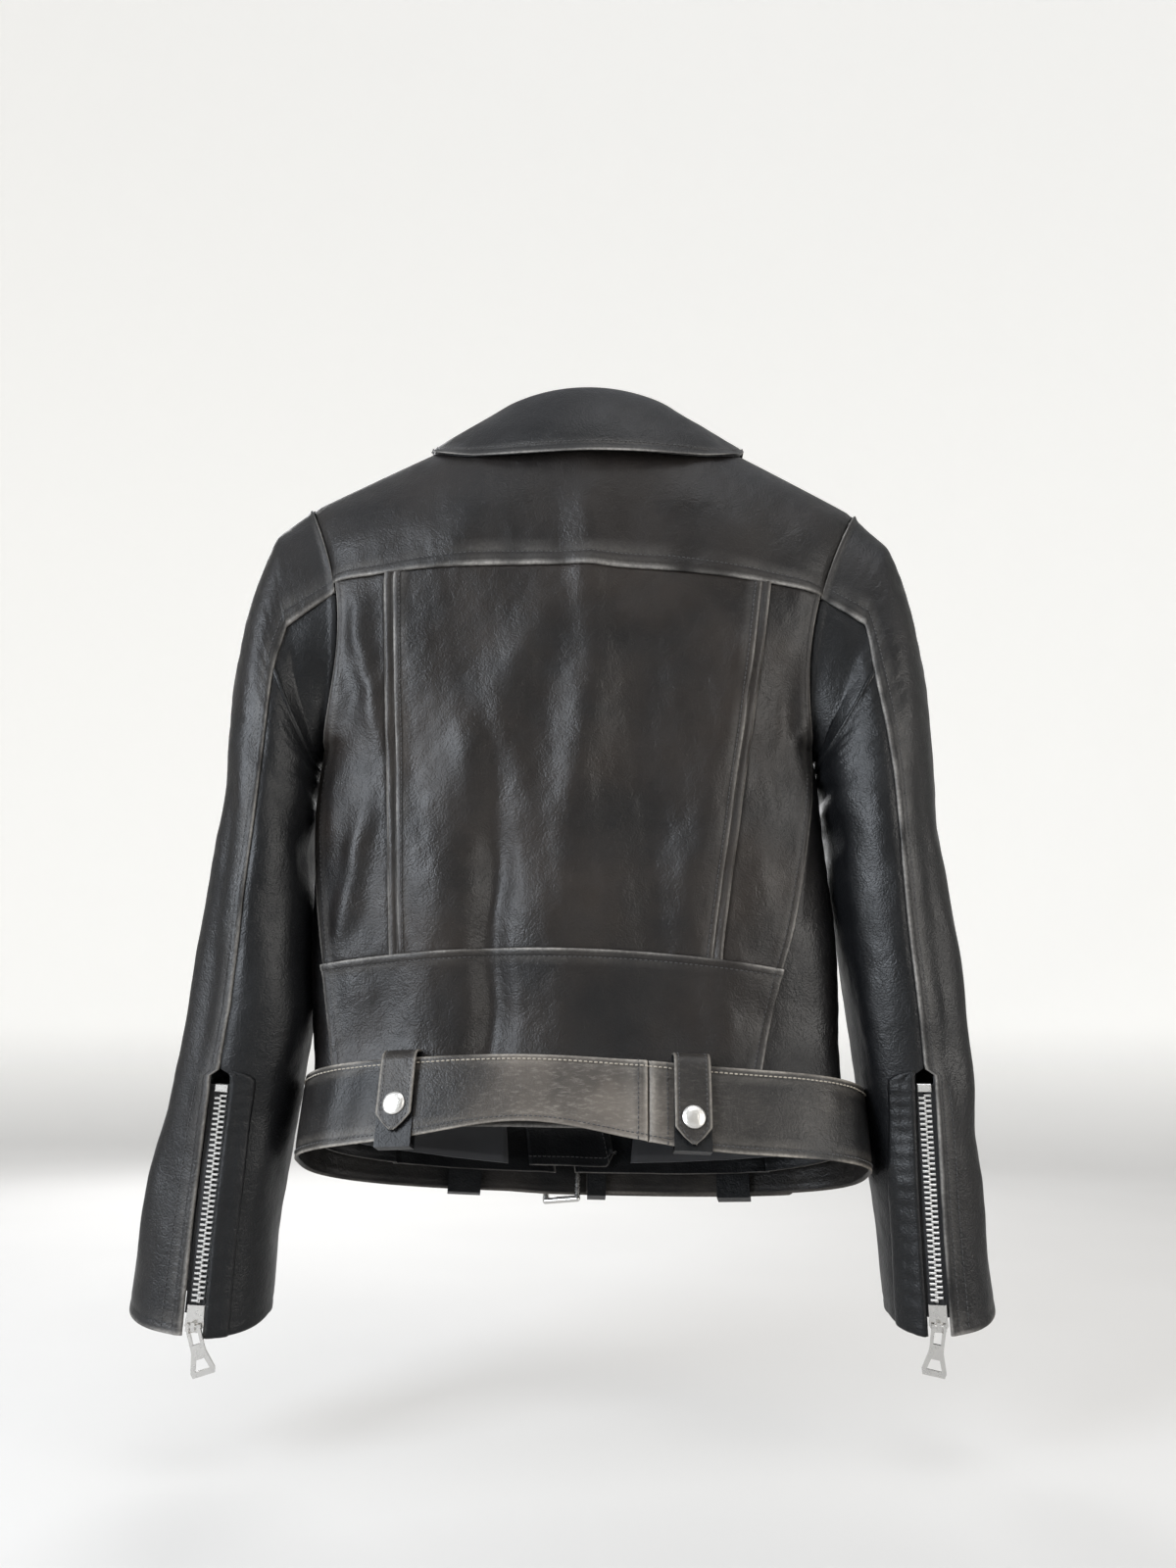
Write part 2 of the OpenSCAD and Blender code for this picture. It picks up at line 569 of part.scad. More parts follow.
// ---------- zips, along X from their closed end, facing +Z ----------
tape_t = 0.8;
teeth_h = 2;
module zip_tape(length, run_on = 16, half = 6.2) {
    color(TAPE)
    for (side = [-1, 1])
        translate([-5, side > 0 ? 1 : -half, 0]) cube([length + 5 + run_on, half - 1, tape_t]);
}
// One side of a chain: a cord with a comb of teeth that reach just past the centre line.
module zip_comb(length, side) {
    count = floor((length - 4) / tooth_pitch);
    tooth = tooth_pitch * 0.44;
    cord = chain_w / 2 - 2.2;
    shift = side > 0 ? 1 : 1 + tooth_pitch / 2;
    points = concat(
        [[0, chain_w / 2], [0, cord]],
        [for (i = [0:count - 1], c = [[0, 0], [0, 1], [1, 1], [1, 0]])
            [shift + i * tooth_pitch + c[0] * tooth, c[1] > 0 ? -0.7 : cord]],
        [[length, cord], [length, chain_w / 2]]
    );
    translate([0, 0, tape_t + 0.05]) mirror([0, side > 0 ? 0 : 1, 0]) linear_extrude(teeth_h) polygon(points);
}
module zip_teeth(length) {
    color(METAL) {
        zip_comb(length, 1);
        zip_comb(length, -1);
        translate([-6, -chain_w / 2 - 0.3, tape_t + 0.05]) cube([5.5, chain_w + 0.6, teeth_h + 0.6]);
    }
}
slider_len = 16;
slider_nose = 3;                 // length of chain that the closed slider still covers
lug_x = 9;
lug_z = 6.4;
pin_r = 1;
puller_lean = [20, -10];         // the sleeve pullers, left and right, hang plumb on their sloping chains
module slider_outline(grow) {
    polygon([[-slider_nose, -4.9 - grow], [4, -5.4 - grow], [slider_len - slider_nose - 4, -5.9 - grow],
        [slider_len - slider_nose, -3.4], [slider_len - slider_nose, 3.4],
        [slider_len - slider_nose - 4, 5.9 + grow], [4, 5.4 + grow], [-slider_nose, 4.9 + grow]]);
}
module zip_slider(length) {
    color(METAL) translate([length, 0, 0])
    difference() {
        union() {
            translate([0, 0, 3.1]) linear_extrude(1.3) slider_outline(0);
            translate([0, 0, -1.7]) linear_extrude(1.3) slider_outline(-1.2);
            for (side = [-1, 1])
                translate([-slider_nose, side > 0 ? 4.6 : -5.4, 1.1]) cube([11, 0.8, 2.2]);
            translate([9.5, -0.7, -0.6]) cube([3, 1.4, 4]);
            translate([6.4, -1.2, 4.3]) cube([5, 2.4, 3.8]);
        }
        translate([lug_x, 0, lug_z]) rotate([90, 0, 0])
            cylinder(r = pin_r + 0.06, h = 6, center = true, $fn = 32);
    }
}
// A pull tab: a fork astride the slider's lug, a bell-shaped body and a finger hole.
// lean turns the tab about the lug, as far as the loose fork lets it hang plumb.
module zip_puller(length, toward = 1, scale_l = 1, lean = 0) {
    reach = 29 * scale_l;
    color(METAL) translate([length + lug_x, 0, lug_z]) mirror([toward > 0 ? 0 : 1, 0, 0]) {
        rotate([90, 0, 0]) cylinder(r = pin_r, h = 8.6, center = true, $fn = 32);
        translate([0, 0, -0.95])
        linear_extrude(1.9)
        difference() {
            union() {
                rotate(lean)
                    polygon([
                        [0, -4.4], [0, 4.4], [12, 4.2], [15, 4.4], [reach - 3, 7.4], [reach, 6.6],
                        [reach, -6.6], [reach - 3, -7.4], [15, -4.4], [12, -4.2]
                    ]);
                translate([-1.4, -4.4]) square([4, 8.8]);
            }
            translate([-3, -2.3]) square([6.6, 4.6]);
            rotate(lean) translate([-3, -2.3]) square([13.4, 4.6]);
            rotate(lean) translate([reach - 6.4, 0])
                polygon([[-3.4, -2.6], [-3.4, 2.6], [3, 4.6], [3, -4.6]]);
        }
    }
}

module sleeve_zip_tape(side) { at_frame(sleeve_zip_frame(side)) zip_tape(sleeve_zip_len, 3, 7); }
module sleeve_zip_teeth(side) { at_frame(sleeve_zip_frame(side)) zip_teeth(sleeve_zip_len); }
module sleeve_zip_slider(side) { at_frame(sleeve_zip_frame(side)) zip_slider(sleeve_zip_len); }
module sleeve_zip_puller(side) {
    at_frame(sleeve_zip_frame(side)) zip_puller(sleeve_zip_len, 1, 1, puller_lean[side > 0 ? 0 : 1]);
}
module front_zip_tape() { at_frame(front_zip_frame()) zip_tape(front_chain_len, 12); }
module front_zip_teeth() { at_frame(front_zip_frame()) zip_teeth(front_chain_len); }
module front_zip_slider() { at_frame(front_zip_frame()) zip_slider(front_chain_len); }
module front_zip_puller() { at_frame(front_zip_frame()) zip_puller(front_chain_len, -1, 1.2); }
module pocket_zip(side) {
    at_frame(pocket_frame(side)) {
        zip_tape(pocket_len, 14, 6.2);
        zip_teeth(pocket_len);
    }
}
module pocket_slider(side) { at_frame(pocket_frame(side)) zip_slider(pocket_len); }
module pocket_puller(side) { at_frame(pocket_frame(side)) zip_puller(pocket_len); }
module pocket_bags() {
    for (side = [-1, 1]) color(LINING) at_frame(pocket_frame(side))
        translate([-4, side > 0 ? -26 : -12, -6.4]) cube([pocket_len + 24, 38, 2.4]);
}

// ---------- coin pocket on the left front ----------
coin_x = [46, 98];
coin_z = [-484, -432];
module coin_sheet(z0, z1, lift, inset) {
    color(LEATHER)
    sheet([for (i = [0:4]) [for (j = [0:4])
        body_pt(-1, mix(coin_x[0] + inset, coin_x[1] - inset, j / 4), mix(z0, z1, i / 4), lift)]],
        1.4, [0, -1, 0]);
}
module coin_pocket() { coin_sheet(coin_z[0], coin_z[1], 2, 0); }
coin_flap_lift = 4.2;
module coin_pocket_flap() { coin_sheet(coin_z[1] - 26, coin_z[1] + 6, coin_flap_lift, -1); }
module coin_pocket_snap() {
    snap_on_body((coin_x[0] + coin_x[1]) / 2, coin_z[1] - 17, coin_flap_lift + 0.25);
}

// ---------- belt, drawn in its own tilted frame: Z across its width, +Y out of the back ----------
belt_t = 3;
belt_centre = [2.5, mid_y, -498];
belt_power = 2.7;
module in_belt() { translate(belt_centre) rotate([belt_tilt, -belt_roll, 0]) children(); }
function belt_pt(a, out = 0) =
    let (p = 2 / belt_power) [(belt_a + out) * spow(sin(a), p), (belt_b + out) * spow(cos(a), p)];
// Angle of the belt at a given x, on the back (face 1) or the front (face -1).
function belt_angle(face, x) =
    let (a = asin(spow(clamp01(abs(x) / belt_a), belt_power / 2)) * sign(x)) face > 0 ? a : 180 - a;
module strap(from, to, steps, lift, width = belt_w, t = belt_t) {
    path = [for (i = [0:steps]) let (a = mix(from, to, i / steps)) [a, lift(a)]];
    translate([0, 0, -width / 2]) linear_extrude(width)
    polygon(concat(
        [for (s = path) belt_pt(s[0], s[1])],
        [for (i = [steps:-1:0]) belt_pt(path[i][0], path[i][1] - t)]
    ));
}
belt_join = -36;                 // x of the join between the two straps, on the back
hinge_x = 4;                     // x of the buckle's hinge bar, in the belt's frame
tip_end_x = -152;
overlap_lift = 6.5;
bar_r = 1.9;
bar_y = -(belt_b - belt_t / 2);
function tip_lift(a) = overlap_lift * smooth(belt_angle(-1, 58), belt_angle(-1, 16), a);
module belt_buckle_strap() {
    color(LEATHER) in_belt()
    difference() {
        union() {
            strap(belt_angle(1, belt_join) - 0.4, belt_angle(-1, hinge_x - 5) - 360, 48, function(a) 0);
            translate([hinge_x, bar_y, 0]) cylinder(r = 4.2, h = belt_w, center = true, $fn = 40);
            translate([hinge_x - 9, bar_y - belt_t / 2, -belt_w / 2]) cube([7, belt_t, belt_w]);
        }
        translate([hinge_x, bar_y, 0]) cylinder(r = bar_r + 0.06, h = belt_w + 2, center = true, $fn = 40);
        translate([hinge_x - 5.6, bar_y - 8, -3.4]) cube([12, 16, 6.8]);
    }
}
module belt_tip_strap() {
    color(LEATHER) in_belt()
    difference() {
        strap(belt_angle(1, belt_join) + 0.4, belt_angle(-1, tip_end_x), 64, function(a) tip_lift(a));
        for (k = [-1, 1]) translate([tip_end_x - 8, -80, k * 26]) rotate([0, k * 38, 0])
            cube([60, 90, 18], center = true);
        translate([hinge_x - 5, -100, -3]) cube([20, 60, 6]);
        for (i = [1:3]) translate([hinge_x + 6 - i * 26, -60, 0]) rotate([90, 0, 0])
            cylinder(r = 2.6, h = 40, $fn = 32);
    }
}
module belt_keeper() {
    inner_y = [-(belt_b + overlap_lift + 0.8), -(belt_b - belt_t - 1.2)];
    room = inner_y[1] - inner_y[0];
    color(LEATHER) in_belt()
    translate([-16, 0, 0])
    difference() {
        translate([0, inner_y[0] - 1.8, -belt_w / 2 - 2.8]) cube([13, room + 3.4, belt_w + 5.6]);
        translate([-1, inner_y[0], -belt_w / 2 - 1]) cube([15, room, belt_w + 2]);
    }
}
frame_len = 25;
frame_lean = 26;                 // the outer bar stands off the strap that passes under it
module buckle_frame() {
    half = belt_w / 2 + 4.2;
    color(METAL) in_belt()
    translate([hinge_x, bar_y, 0]) rotate([0, 0, -frame_lean]) {
        cylinder(r = bar_r, h = 2 * half, center = true, $fn = 40);
        translate([frame_len, 0, 0]) cylinder(r = 2.2, h = 2 * half, center = true, $fn = 40);
        for (k = [-1, 1]) translate([0, 0, k * half]) {
            rotate([0, 90, 0]) cylinder(r = 2.2, h = frame_len, $fn = 40);
            sphere(r = 2.2, $fn = 40);
            translate([frame_len, 0, 0]) sphere(r = 2.2, $fn = 40);
        }
    }
}
prong_lean = 35.6;
module buckle_prong() {
    reach = frame_len + 3;
    color(METAL) in_belt()
    translate([hinge_x, bar_y, 0]) rotate([0, 0, -prong_lean])
    difference() {
        union() {
            cylinder(r = 3.3, h = 4.6, center = true, $fn = 40);
            rotate([0, 90, 0]) cylinder(r = 1.7, h = reach, $fn = 32);
            translate([reach, 0, 0]) sphere(r = 1.7, $fn = 32);
        }
        cylinder(r = bar_r + 0.06, h = 8, center = true, $fn = 40);
    }
}

// ---------- belt loops ----------
loop_w = 23;
loop_x = [116, -66];             // back loops, left then right, in the belt's frame
front_loop_x = [84, -106];
function belt_frame_at(face, x, out) =
    let (
        a = belt_angle(face, x),
        p = belt_pt(a, out),
        q = belt_pt(a + 1, out),
        place = [p[0], p[1], 0],
        along = unit([q[0] - p[0], q[1] - p[1], 0]) * -face,
        n = unit(cross(along, [0, 0, 1]))
    )
    [place, along, n * sign(n * place)];
// Draws in a frame with X along the belt, Y up its width and Z out of its face.
module on_belt(face, x, out = 0) { in_belt() at_frame(belt_frame_at(face, x, out)) children(); }
// Extrudes a profile, drawn as [height on the belt, distance out of its face], along the belt.
module across_belt(width) {
    rotate([0, 90, 0]) rotate([0, 0, 90]) translate([0, 0, -width / 2]) linear_extrude(width) children();
}
module loop_band(depth) {
    across_belt(loop_w)
    difference() {
        translate([-belt_w / 2 - 3.2, -belt_t - 3]) square([belt_w + 6.4, depth + belt_t + 6]);
        translate([-belt_w / 2 - 1.4, -belt_t - 1.2]) square([belt_w + 2.8, depth + belt_t + 2.4]);
    }
}
module belt_loops_front() {
    color(LEATHER) {
        on_belt(-1, front_loop_x[0]) loop_band(0);
        on_belt(-1, front_loop_x[1]) loop_band(overlap_lift);
    }
}
// The fixed part of a back loop passes behind and under the belt and up its face, to carry the snap's stud.
tab_hinge = [belt_w / 2 + 8, -belt_t - 1];
stud_y = [-4, -10];               // height of the two snaps on the belt
module loop_profile() {
    low = -belt_w / 2 - 3;
    high = belt_w / 2 + 5;
    polygon([
        [high, -belt_t - 3], [high, -belt_t - 1.2], [low + 1.8, -belt_t - 1.2], [low + 1.8, 1],
        [2, 1], [2, 2.8], [low, 2.8], [low, -belt_t - 3]
    ]);
}
module belt_loops_back() {
    for (x = loop_x) color(LEATHER) on_belt(1, x) {
        across_belt(loop_w) loop_profile();
        translate([0, stud_y[x == loop_x[0] ? 0 : 1], 2.8]) cylinder(r = 4, h = 0.8, $fn = 40);
    }
}
// The free tab hangs from above the belt, over its face, to a pointed end.
module loop_tab(k) {
    top = tab_hinge[0];
    low = stud_y[k] - 16;
    color(LEATHER) on_belt(1, loop_x[k])
    intersection() {
        across_belt(loop_w)
            polygon([
                [top + 1, -belt_t - 2], [top + 1, -belt_t], [belt_w / 2 + 3, 5.6], [-30, 5.6],
                [-30, 3.8], [belt_w / 2 + 2, 3.8], [top - 1, -belt_t - 2]
            ]);
        linear_extrude(30, center = true)
            polygon([
                [-loop_w / 2, top + 3], [loop_w / 2, top + 3], [loop_w / 2, low + 10], [0, low],
                [-loop_w / 2, low + 10]
            ]);
    }
}
module tab_snap(k) {
    color(METAL) on_belt(1, loop_x[k]) translate([0, stud_y[k], 5.75]) snap_cap(7.2, 3.0);
}

// ---------- lining and loop ----------
module body_lining() {
    color(LINING) {
        body_panel(1,
            hem_line(1, edge_x(1, -500) - 16, edge_x(-1, -500) + 16),
            function(t)
                let (x = mix(edge_x(1, -70) - 12, edge_x(-1, -70) + 12, t))
                [x, min(neckline_z(x) - 6, ridge_z(x) - 22)],
            function(t)
                let (z = mix(hem_at(1, edge_x(1, -500) - 16), -70, t))
                [edge_x(1, z) - 12, z],
            function(t)
                let (z = mix(hem_at(1, edge_x(-1, -500) + 16), -70, t))
                [edge_x(-1, z) + 12, z],
            14, 16, false, -5, 0.8);
        for (side = [-1, 1])
            body_panel(-1,
                hem_line(-1, edge_x(side, -520) - side * 18, side > 0 ? 56 : -30),
                function(t)
                    let (x = mix(edge_x(side, -80) - side * 14, side > 0 ? 96 : -90, t))
                    [x, ridge_z(x) - 26],
                function(t)
                    let (z = mix(hem_at(-1, edge_x(side, -520) - side * 18), ridge_z(188) - 26, t))
                    [edge_x(side, z) - side * 16, z],
                function(t)
                    mix([side > 0 ? 56 : -30, -536], [side > 0 ? 96 : -90, ridge_z(92) - 26], t),
                10, 14, false, -13, 0.8);
    }
}
loop_bore_r = 9;
module hanging_loop() {
    color(LEATHER)
    difference() {
        union() {
            rotate([90, 0, 0]) cylinder(r = loop_bore_r + 2, h = 6, center = true, $fn = 64);
            translate([-loop_bore_r - 2, -3, 0]) cube([4, 6, loop_bore_r + 3]);
            translate([loop_bore_r - 2, -3, 0]) cube([4, 6, loop_bore_r + 3]);
        }
        rotate([90, 0, 0]) cylinder(r = loop_bore_r, h = 20, center = true, $fn = 64);
    }
}

back_yoke();
back_centre_panel();
back_side_panel(1);  // back_side_panel_left
back_side_panel(-1);  // back_side_panel_right
back_waist_panel();
side_panel(1);  // side_panel_left
side_panel(-1);  // side_panel_right
front_panel(1);  // front_panel_left
front_panel(-1);  // front_panel_right
front_underlap();
lapel(1);  // lapel_left
lapel(-1);  // lapel_right
lapel_snap(1);  // lapel_snap_left
lapel_snap(-1);  // lapel_snap_right
collar_stand();
collar_fall();
collar_snaps();
top_sleeve(1);  // top_sleeve_left
top_sleeve(-1);  // top_sleeve_right
under_sleeve(1);  // under_sleeve_left
under_sleeve(-1);  // under_sleeve_right
sleeve_gusset(1);  // sleeve_gusset_left
sleeve_gusset(-1);  // sleeve_gusset_right
sleeve_zip_tape(1);  // sleeve_zip_tape_left
sleeve_zip_tape(-1);  // sleeve_zip_tape_right
sleeve_zip_teeth(1);  // sleeve_zip_teeth_left
sleeve_zip_teeth(-1);  // sleeve_zip_teeth_right
sleeve_zip_slider(1);  // sleeve_zip_slider_left
sleeve_zip_slider(-1);  // sleeve_zip_slider_right
sleeve_zip_puller(1);  // sleeve_zip_puller_left
sleeve_zip_puller(-1);  // sleeve_zip_puller_right
front_zip_tape();
front_zip_teeth();
front_zip_slider();
front_zip_puller();
pocket_zip(1);  // pocket_zip_left
pocket_zip(-1);  // pocket_zip_right
pocket_slider(1);  // pocket_slider_left
pocket_slider(-1);  // pocket_slider_right
pocket_puller(1);  // pocket_puller_left
pocket_puller(-1);  // pocket_puller_right
pocket_bags();
coin_pocket();
coin_pocket_flap();
coin_pocket_snap();
belt_buckle_strap();
belt_tip_strap();
belt_keeper();
buckle_frame();
buckle_prong();
belt_loops_front();
belt_loops_back();
loop_tab(0);  // loop_tab_left
loop_tab(1);  // loop_tab_right
tab_snap(0);  // tab_snap_left
tab_snap(1);  // tab_snap_right
body_lining();
sleeve_lining(1);  // sleeve_lining_left
sleeve_lining(-1);  // sleeve_lining_right
hanging_loop();
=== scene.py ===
"""Looks of the leather riding jacket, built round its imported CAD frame.

Lengths are in millimetres until a mesh is made. +Z is up, +X is the wearer's left, +Y is the back.
Each leather panel is a surface function at(u, v); seams, stitches and edges are placed on those surfaces.
"""
import math
import bpy
import numpy as np
from mathutils import Matrix, Vector


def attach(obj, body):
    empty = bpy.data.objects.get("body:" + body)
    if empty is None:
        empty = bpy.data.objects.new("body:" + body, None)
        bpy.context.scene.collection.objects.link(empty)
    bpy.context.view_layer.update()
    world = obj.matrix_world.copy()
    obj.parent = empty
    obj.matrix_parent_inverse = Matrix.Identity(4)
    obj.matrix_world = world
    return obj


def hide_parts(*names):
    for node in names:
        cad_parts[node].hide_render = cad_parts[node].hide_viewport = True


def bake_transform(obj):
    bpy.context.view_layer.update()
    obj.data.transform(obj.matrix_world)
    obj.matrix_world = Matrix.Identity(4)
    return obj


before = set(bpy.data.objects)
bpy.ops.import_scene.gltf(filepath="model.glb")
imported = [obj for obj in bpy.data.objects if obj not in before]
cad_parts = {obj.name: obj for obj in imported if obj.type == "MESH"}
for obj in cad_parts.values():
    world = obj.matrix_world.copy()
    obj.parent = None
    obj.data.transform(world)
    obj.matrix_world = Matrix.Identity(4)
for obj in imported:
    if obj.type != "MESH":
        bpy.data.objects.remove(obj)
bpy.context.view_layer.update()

MM = 0.001

# ---------------------------------------------------------------- sizes shared with the CAD
SHOULDER_HALF = 201.0
SHOULDER_Z = -56.0
SHOULDER_FALL = 0.5
RIGHT_DROP = 8.0
NECK_HALF = 72.0
MID_Y = -35.0
RIDGE_DEPTH = 110.0
ARMPIT_Z = -240.0
YOKE_Z = -121.0
WAIST_Z = -381.0
HEM_Z = -512.0
SLEW = 0.055
BELT_TILT = math.radians(18)
BELT_ROLL = math.radians(1.3)
BELT_CENTRE = np.array([2.5, MID_Y, -498.0])
BELT_A = 186.0
BELT_B = 72.0
BELT_W = 53.0
BELT_T = 3.0
BELT_POWER = 2.7
BELT_STITCH = 4.0      # distance of the belt's stitch rows from its edges
POWER = 2.5
BREAK = np.array([58.0, -236.0])
ZIP_FOOT = np.array([20.0, -502.0])
ROLL_LEFT = np.array([68.0, -10.0])
ROLL_RIGHT = np.array([-62.0, -10.0])
LAPEL_LIFT = 3.2
ZIP_HALF_GAP = 6.6
DRIFT = 16.0
POCKET_LEN = 104.0
POCKET_SINK = 4.9      # depth of the groove that a pocket's zip lies in
LOOP_X = (116.0, -66.0)
LOOP_HALF = 11.5
STUD_Y = (-4.0, -10.0)
SIDES = ((1, "left"), (-1, "right"))


# ---------------------------------------------------------------- curves
def clamp01(t):
    return np.clip(t, 0.0, 1.0)


def smooth(a, b, x):
    t = clamp01((x - a) / (b - a))
    return t * t * (3 - 2 * t)


def mix(a, b, t):
    return a + (b - a) * t


def spow(v, p):
    return np.sign(v) * np.abs(v) ** p


def bump(x, middle, width):
    return np.exp(-((x - middle) / width) ** 2)


def through(knots, x):
    """Smooth curve through a short list of (place, value) knots."""
    k = np.array(knots, float)
    xs, ys = k[:, 0], k[:, 1]
    n = len(xs)
    before, after = np.maximum(np.arange(n) - 1, 0), np.minimum(np.arange(n) + 1, n - 1)
    slope = (ys[after] - ys[before]) / (xs[after] - xs[before])
    x = np.asarray(x, float)
    i = np.clip(np.searchsorted(xs, x, side="right") - 1, 0, n - 2)
    h = xs[i + 1] - xs[i]
    t = clamp01((x - xs[i]) / h)
    return (
        ys[i] * (1 + 2 * t) * (1 - t) ** 2
        + ys[i + 1] * t * t * (3 - 2 * t)
        + h * t * (1 - t) * (slope[i] * (1 - t) - slope[i + 1] * t)
    )


def ripple(p, q, size, seed):
    """Smooth noise of about unit height over two coordinates, with features about size across."""
    r = np.random.RandomState(seed)
    total = 0
    for _ in range(7):
        turn = r.uniform(0, 2 * math.pi)
        wave = 2 * math.pi / (size * r.uniform(0.7, 1.8))
        total = total + np.sin((p * math.cos(turn) + q * math.sin(turn)) * wave + r.uniform(0, 6.3))
    return total / 3.0


def unit(v):
    return v / np.maximum(np.linalg.norm(v, axis=-1, keepdims=True), 1e-9)


# ---------------------------------------------------------------- shape of the body
def body_sway(z):
    return through([(-520, 5), (-400, 9), (-240, 14), (-130, 6), (-50, 2)], z)


def ridge_z(x):
    drop = np.where(x < 0, RIGHT_DROP * clamp01((-x - NECK_HALF) / (SHOULDER_HALF - NECK_HALF)), 0)
    return SHOULDER_Z + SHOULDER_FALL * (SHOULDER_HALF - np.abs(x)) - drop


def edge_half(z):
    z = np.asarray(z, float)
    t = clamp01((z - ARMPIT_Z) / (SHOULDER_Z - ARMPIT_Z))
    armhole = mix(172, SHOULDER_HALF, t ** 1.6) - 14 * np.sin(math.pi * t)
    low = through([(-520, 173), (-400, 178), (-300, 177), (ARMPIT_Z, 172)], z)
    return np.where(z > ARMPIT_Z, armhole, low)


def edge_x(side, z):
    return body_sway(z) + side * edge_half(z)


def edge_depth(z):
    t = clamp01((-148 - z) / (-148 - ARMPIT_Z))
    return np.where(z <= ARMPIT_Z, 0, np.where(z > -148, 40, 40 * np.sqrt(1 - t ** 2)))


def full_depth(face, z):
    if face > 0:
        return through([(-560, 64), (-490, 61), (-440, 44), (-385, 46), (-250, 54), (-120, 56), (40, 56)], z)
    return through([(-560, 46), (-540, 48), (-500, 62), (-200, 50), (-100, 46), (40, 44)], z)


ARMPIT_SPREAD = (-22, -11, 0, 11, 22)


def body_depth(face, x, z):
    """Depth of the body's face. Away from the armholes the change at the armpits is spread out."""
    q = clamp01((ridge_z(x) - z) / RIDGE_DEPTH)
    rounding = np.sqrt(1 - (1 - q) ** 2)
    off = np.abs(x - body_sway(z))
    u = np.minimum(1, off / edge_half(z))
    spread = sum(edge_half(z + d) for d in ARMPIT_SPREAD) / len(ARMPIT_SPREAD)
    near = smooth(0.86, 0.97, u)
    u = mix(np.minimum(1, off / spread), u, near)
    e = mix(40 * smooth(-266, -160, z), edge_depth(z), near)
    return rounding * (e + (full_depth(face, z) - e) * (1 - u ** POWER) ** (1 / POWER))


# Soft folds of the hanging leather: (start x, z), (end x, z), half width, height.
BACK_FOLDS = [
    ((2, -62), (-2, -135), 13, 2.4),
    ((-2, -135), (12, -330), 16, 3.0),
    ((30, -150), (92, -285), 17, 3.2),
    ((66, -215), (60, -330), 12, -2.6),
    ((60, -320), (64, -462), 11, -6.0),
    ((98, -300), (104, -450), 22, 3.2),
    ((20, -330), (24, -455), 24, 3.0),
    ((-112, -150), (-78, -300), 15, 3.4),
    ((-78, -290), (-60, -380), 16, 2.2),
    ((-36, -200), (-44, -390), 18, -2.2),
    ((-96, -380), (-88, -450), 16, 2.0),
    ((-128, -385), (-120, -440), 8, -1.6),
    ((162, -150), (140, -240), 8, 2.6),
    ((150, -290), (166, -375), 8, 3.0),
    ((-140, -200), (-128, -330), 9, -1.6),
    ((60, -55), (100, -118), 18, 1.6),
    ((-60, -50), (-120, -120), 22, 1.4),
    ((120, -100), (168, -135), 10, -1.2),
]
FRONT_FOLDS = [
    ((-30, -150), (-110, -330), 20, 3.0),
    ((-80, -180), (-150, -300), 14, -2.4),
    ((-20, -330), (-100, -470), 18, 2.6),
    ((110, -150), (140, -320), 16, 2.8),
    ((90, -240), (110, -420), 14, -2.2),
    ((150, -300), (160, -470), 12, 2.6),
    ((-150, -320), (-150, -470), 14, 2.8),
]


FOLD_DEPTH = 1.35


def folds(strokes, x, z):
    total = np.zeros(np.broadcast(x, z).shape)
    for (x0, z0), (x1, z1), width, height in strokes:
        dx, dz = x1 - x0, z1 - z0
        length = math.hypot(dx, dz)
        along = ((x - x0) * dx + (z - z0) * dz) / length ** 2
        wander = 2.5 * ripple(along * 3, 0 * along, 1.3, int(length))
        across = ((x - x0) * dz - (z - z0) * dx) / length + wander
        window = smooth(-0.25, 0.25, along) * (1 - smooth(0.75, 1.25, along))
        total = total + FOLD_DEPTH * height * np.exp(-(across / width) ** 2) * window
    return total


def body_relief(face, x, z):
    """Outward relief of the leather, dying away at the shoulders and at the side edges."""
    strokes = BACK_FOLDS if face > 0 else FRONT_FOLDS
    soft = folds(strokes, x, z) + 0.55 * ripple(x, z * 0.55, 60, 3) + 0.22 * ripple(x, z, 19, 4)
    soft = soft + settled_body(face, x, z)
    keep = smooth(0, 45, ridge_z(x) - z) * smooth(0.0, 16, edge_half(z) - np.abs(x - body_sway(z)))
    if face < 0:
        flat = sum(pocket_window(side, x, z, 9.0, 15.0) for side in (1, -1))
        groove = sum(pocket_window(side, x, z, 6.6, 8.4) for side in (1, -1))
        return soft * keep * (1 - clamp01(flat)) - POCKET_SINK * groove
    return soft * keep


def pocket_line(side):
    top = np.array([98.0 if side > 0 else -84.0, -318.0])
    return top, top + np.array([side * 46.0, -112.0])


def pocket_place(side, x, z):
    """Distances along and across the line of a pocket's zip."""
    top, low = pocket_line(side)
    d = (low - top) / np.linalg.norm(low - top)
    return (x - top[0]) * d[0] + (z - top[1]) * d[1], (x - top[0]) * d[1] - (z - top[1]) * d[0]


def pocket_window(side, x, z, inside, outside):
    """1 within a distance of the pocket's slot and 0 beyond the larger one."""
    along, across = pocket_place(side, x, z)
    past = np.maximum(np.maximum(-4 - along, along - POCKET_LEN - 15), 0)
    return 1 - smooth(inside, outside, np.hypot(past, across))


def body_at(face, x, z, lift=0.0):
    """Point of the body's face at x, z, raised by lift along its normal."""
    d = 0.8
    sx = (body_depth(face, x + d, z) - body_depth(face, x - d, z)) / (2 * d)
    sz = (body_depth(face, x, z + d) - body_depth(face, x, z - d)) / (2 * d)
    n = unit(np.stack([-sx, np.ones_like(sx), -sz], -1))
    rise = lift + body_relief(face, x, z)
    base = body_depth(face, x, z)
    out_x, out_y, out_z = (n[..., k] * rise for k in range(3))
    return np.stack([x + out_x, MID_Y + face * (base + out_y), z + out_z], -1)


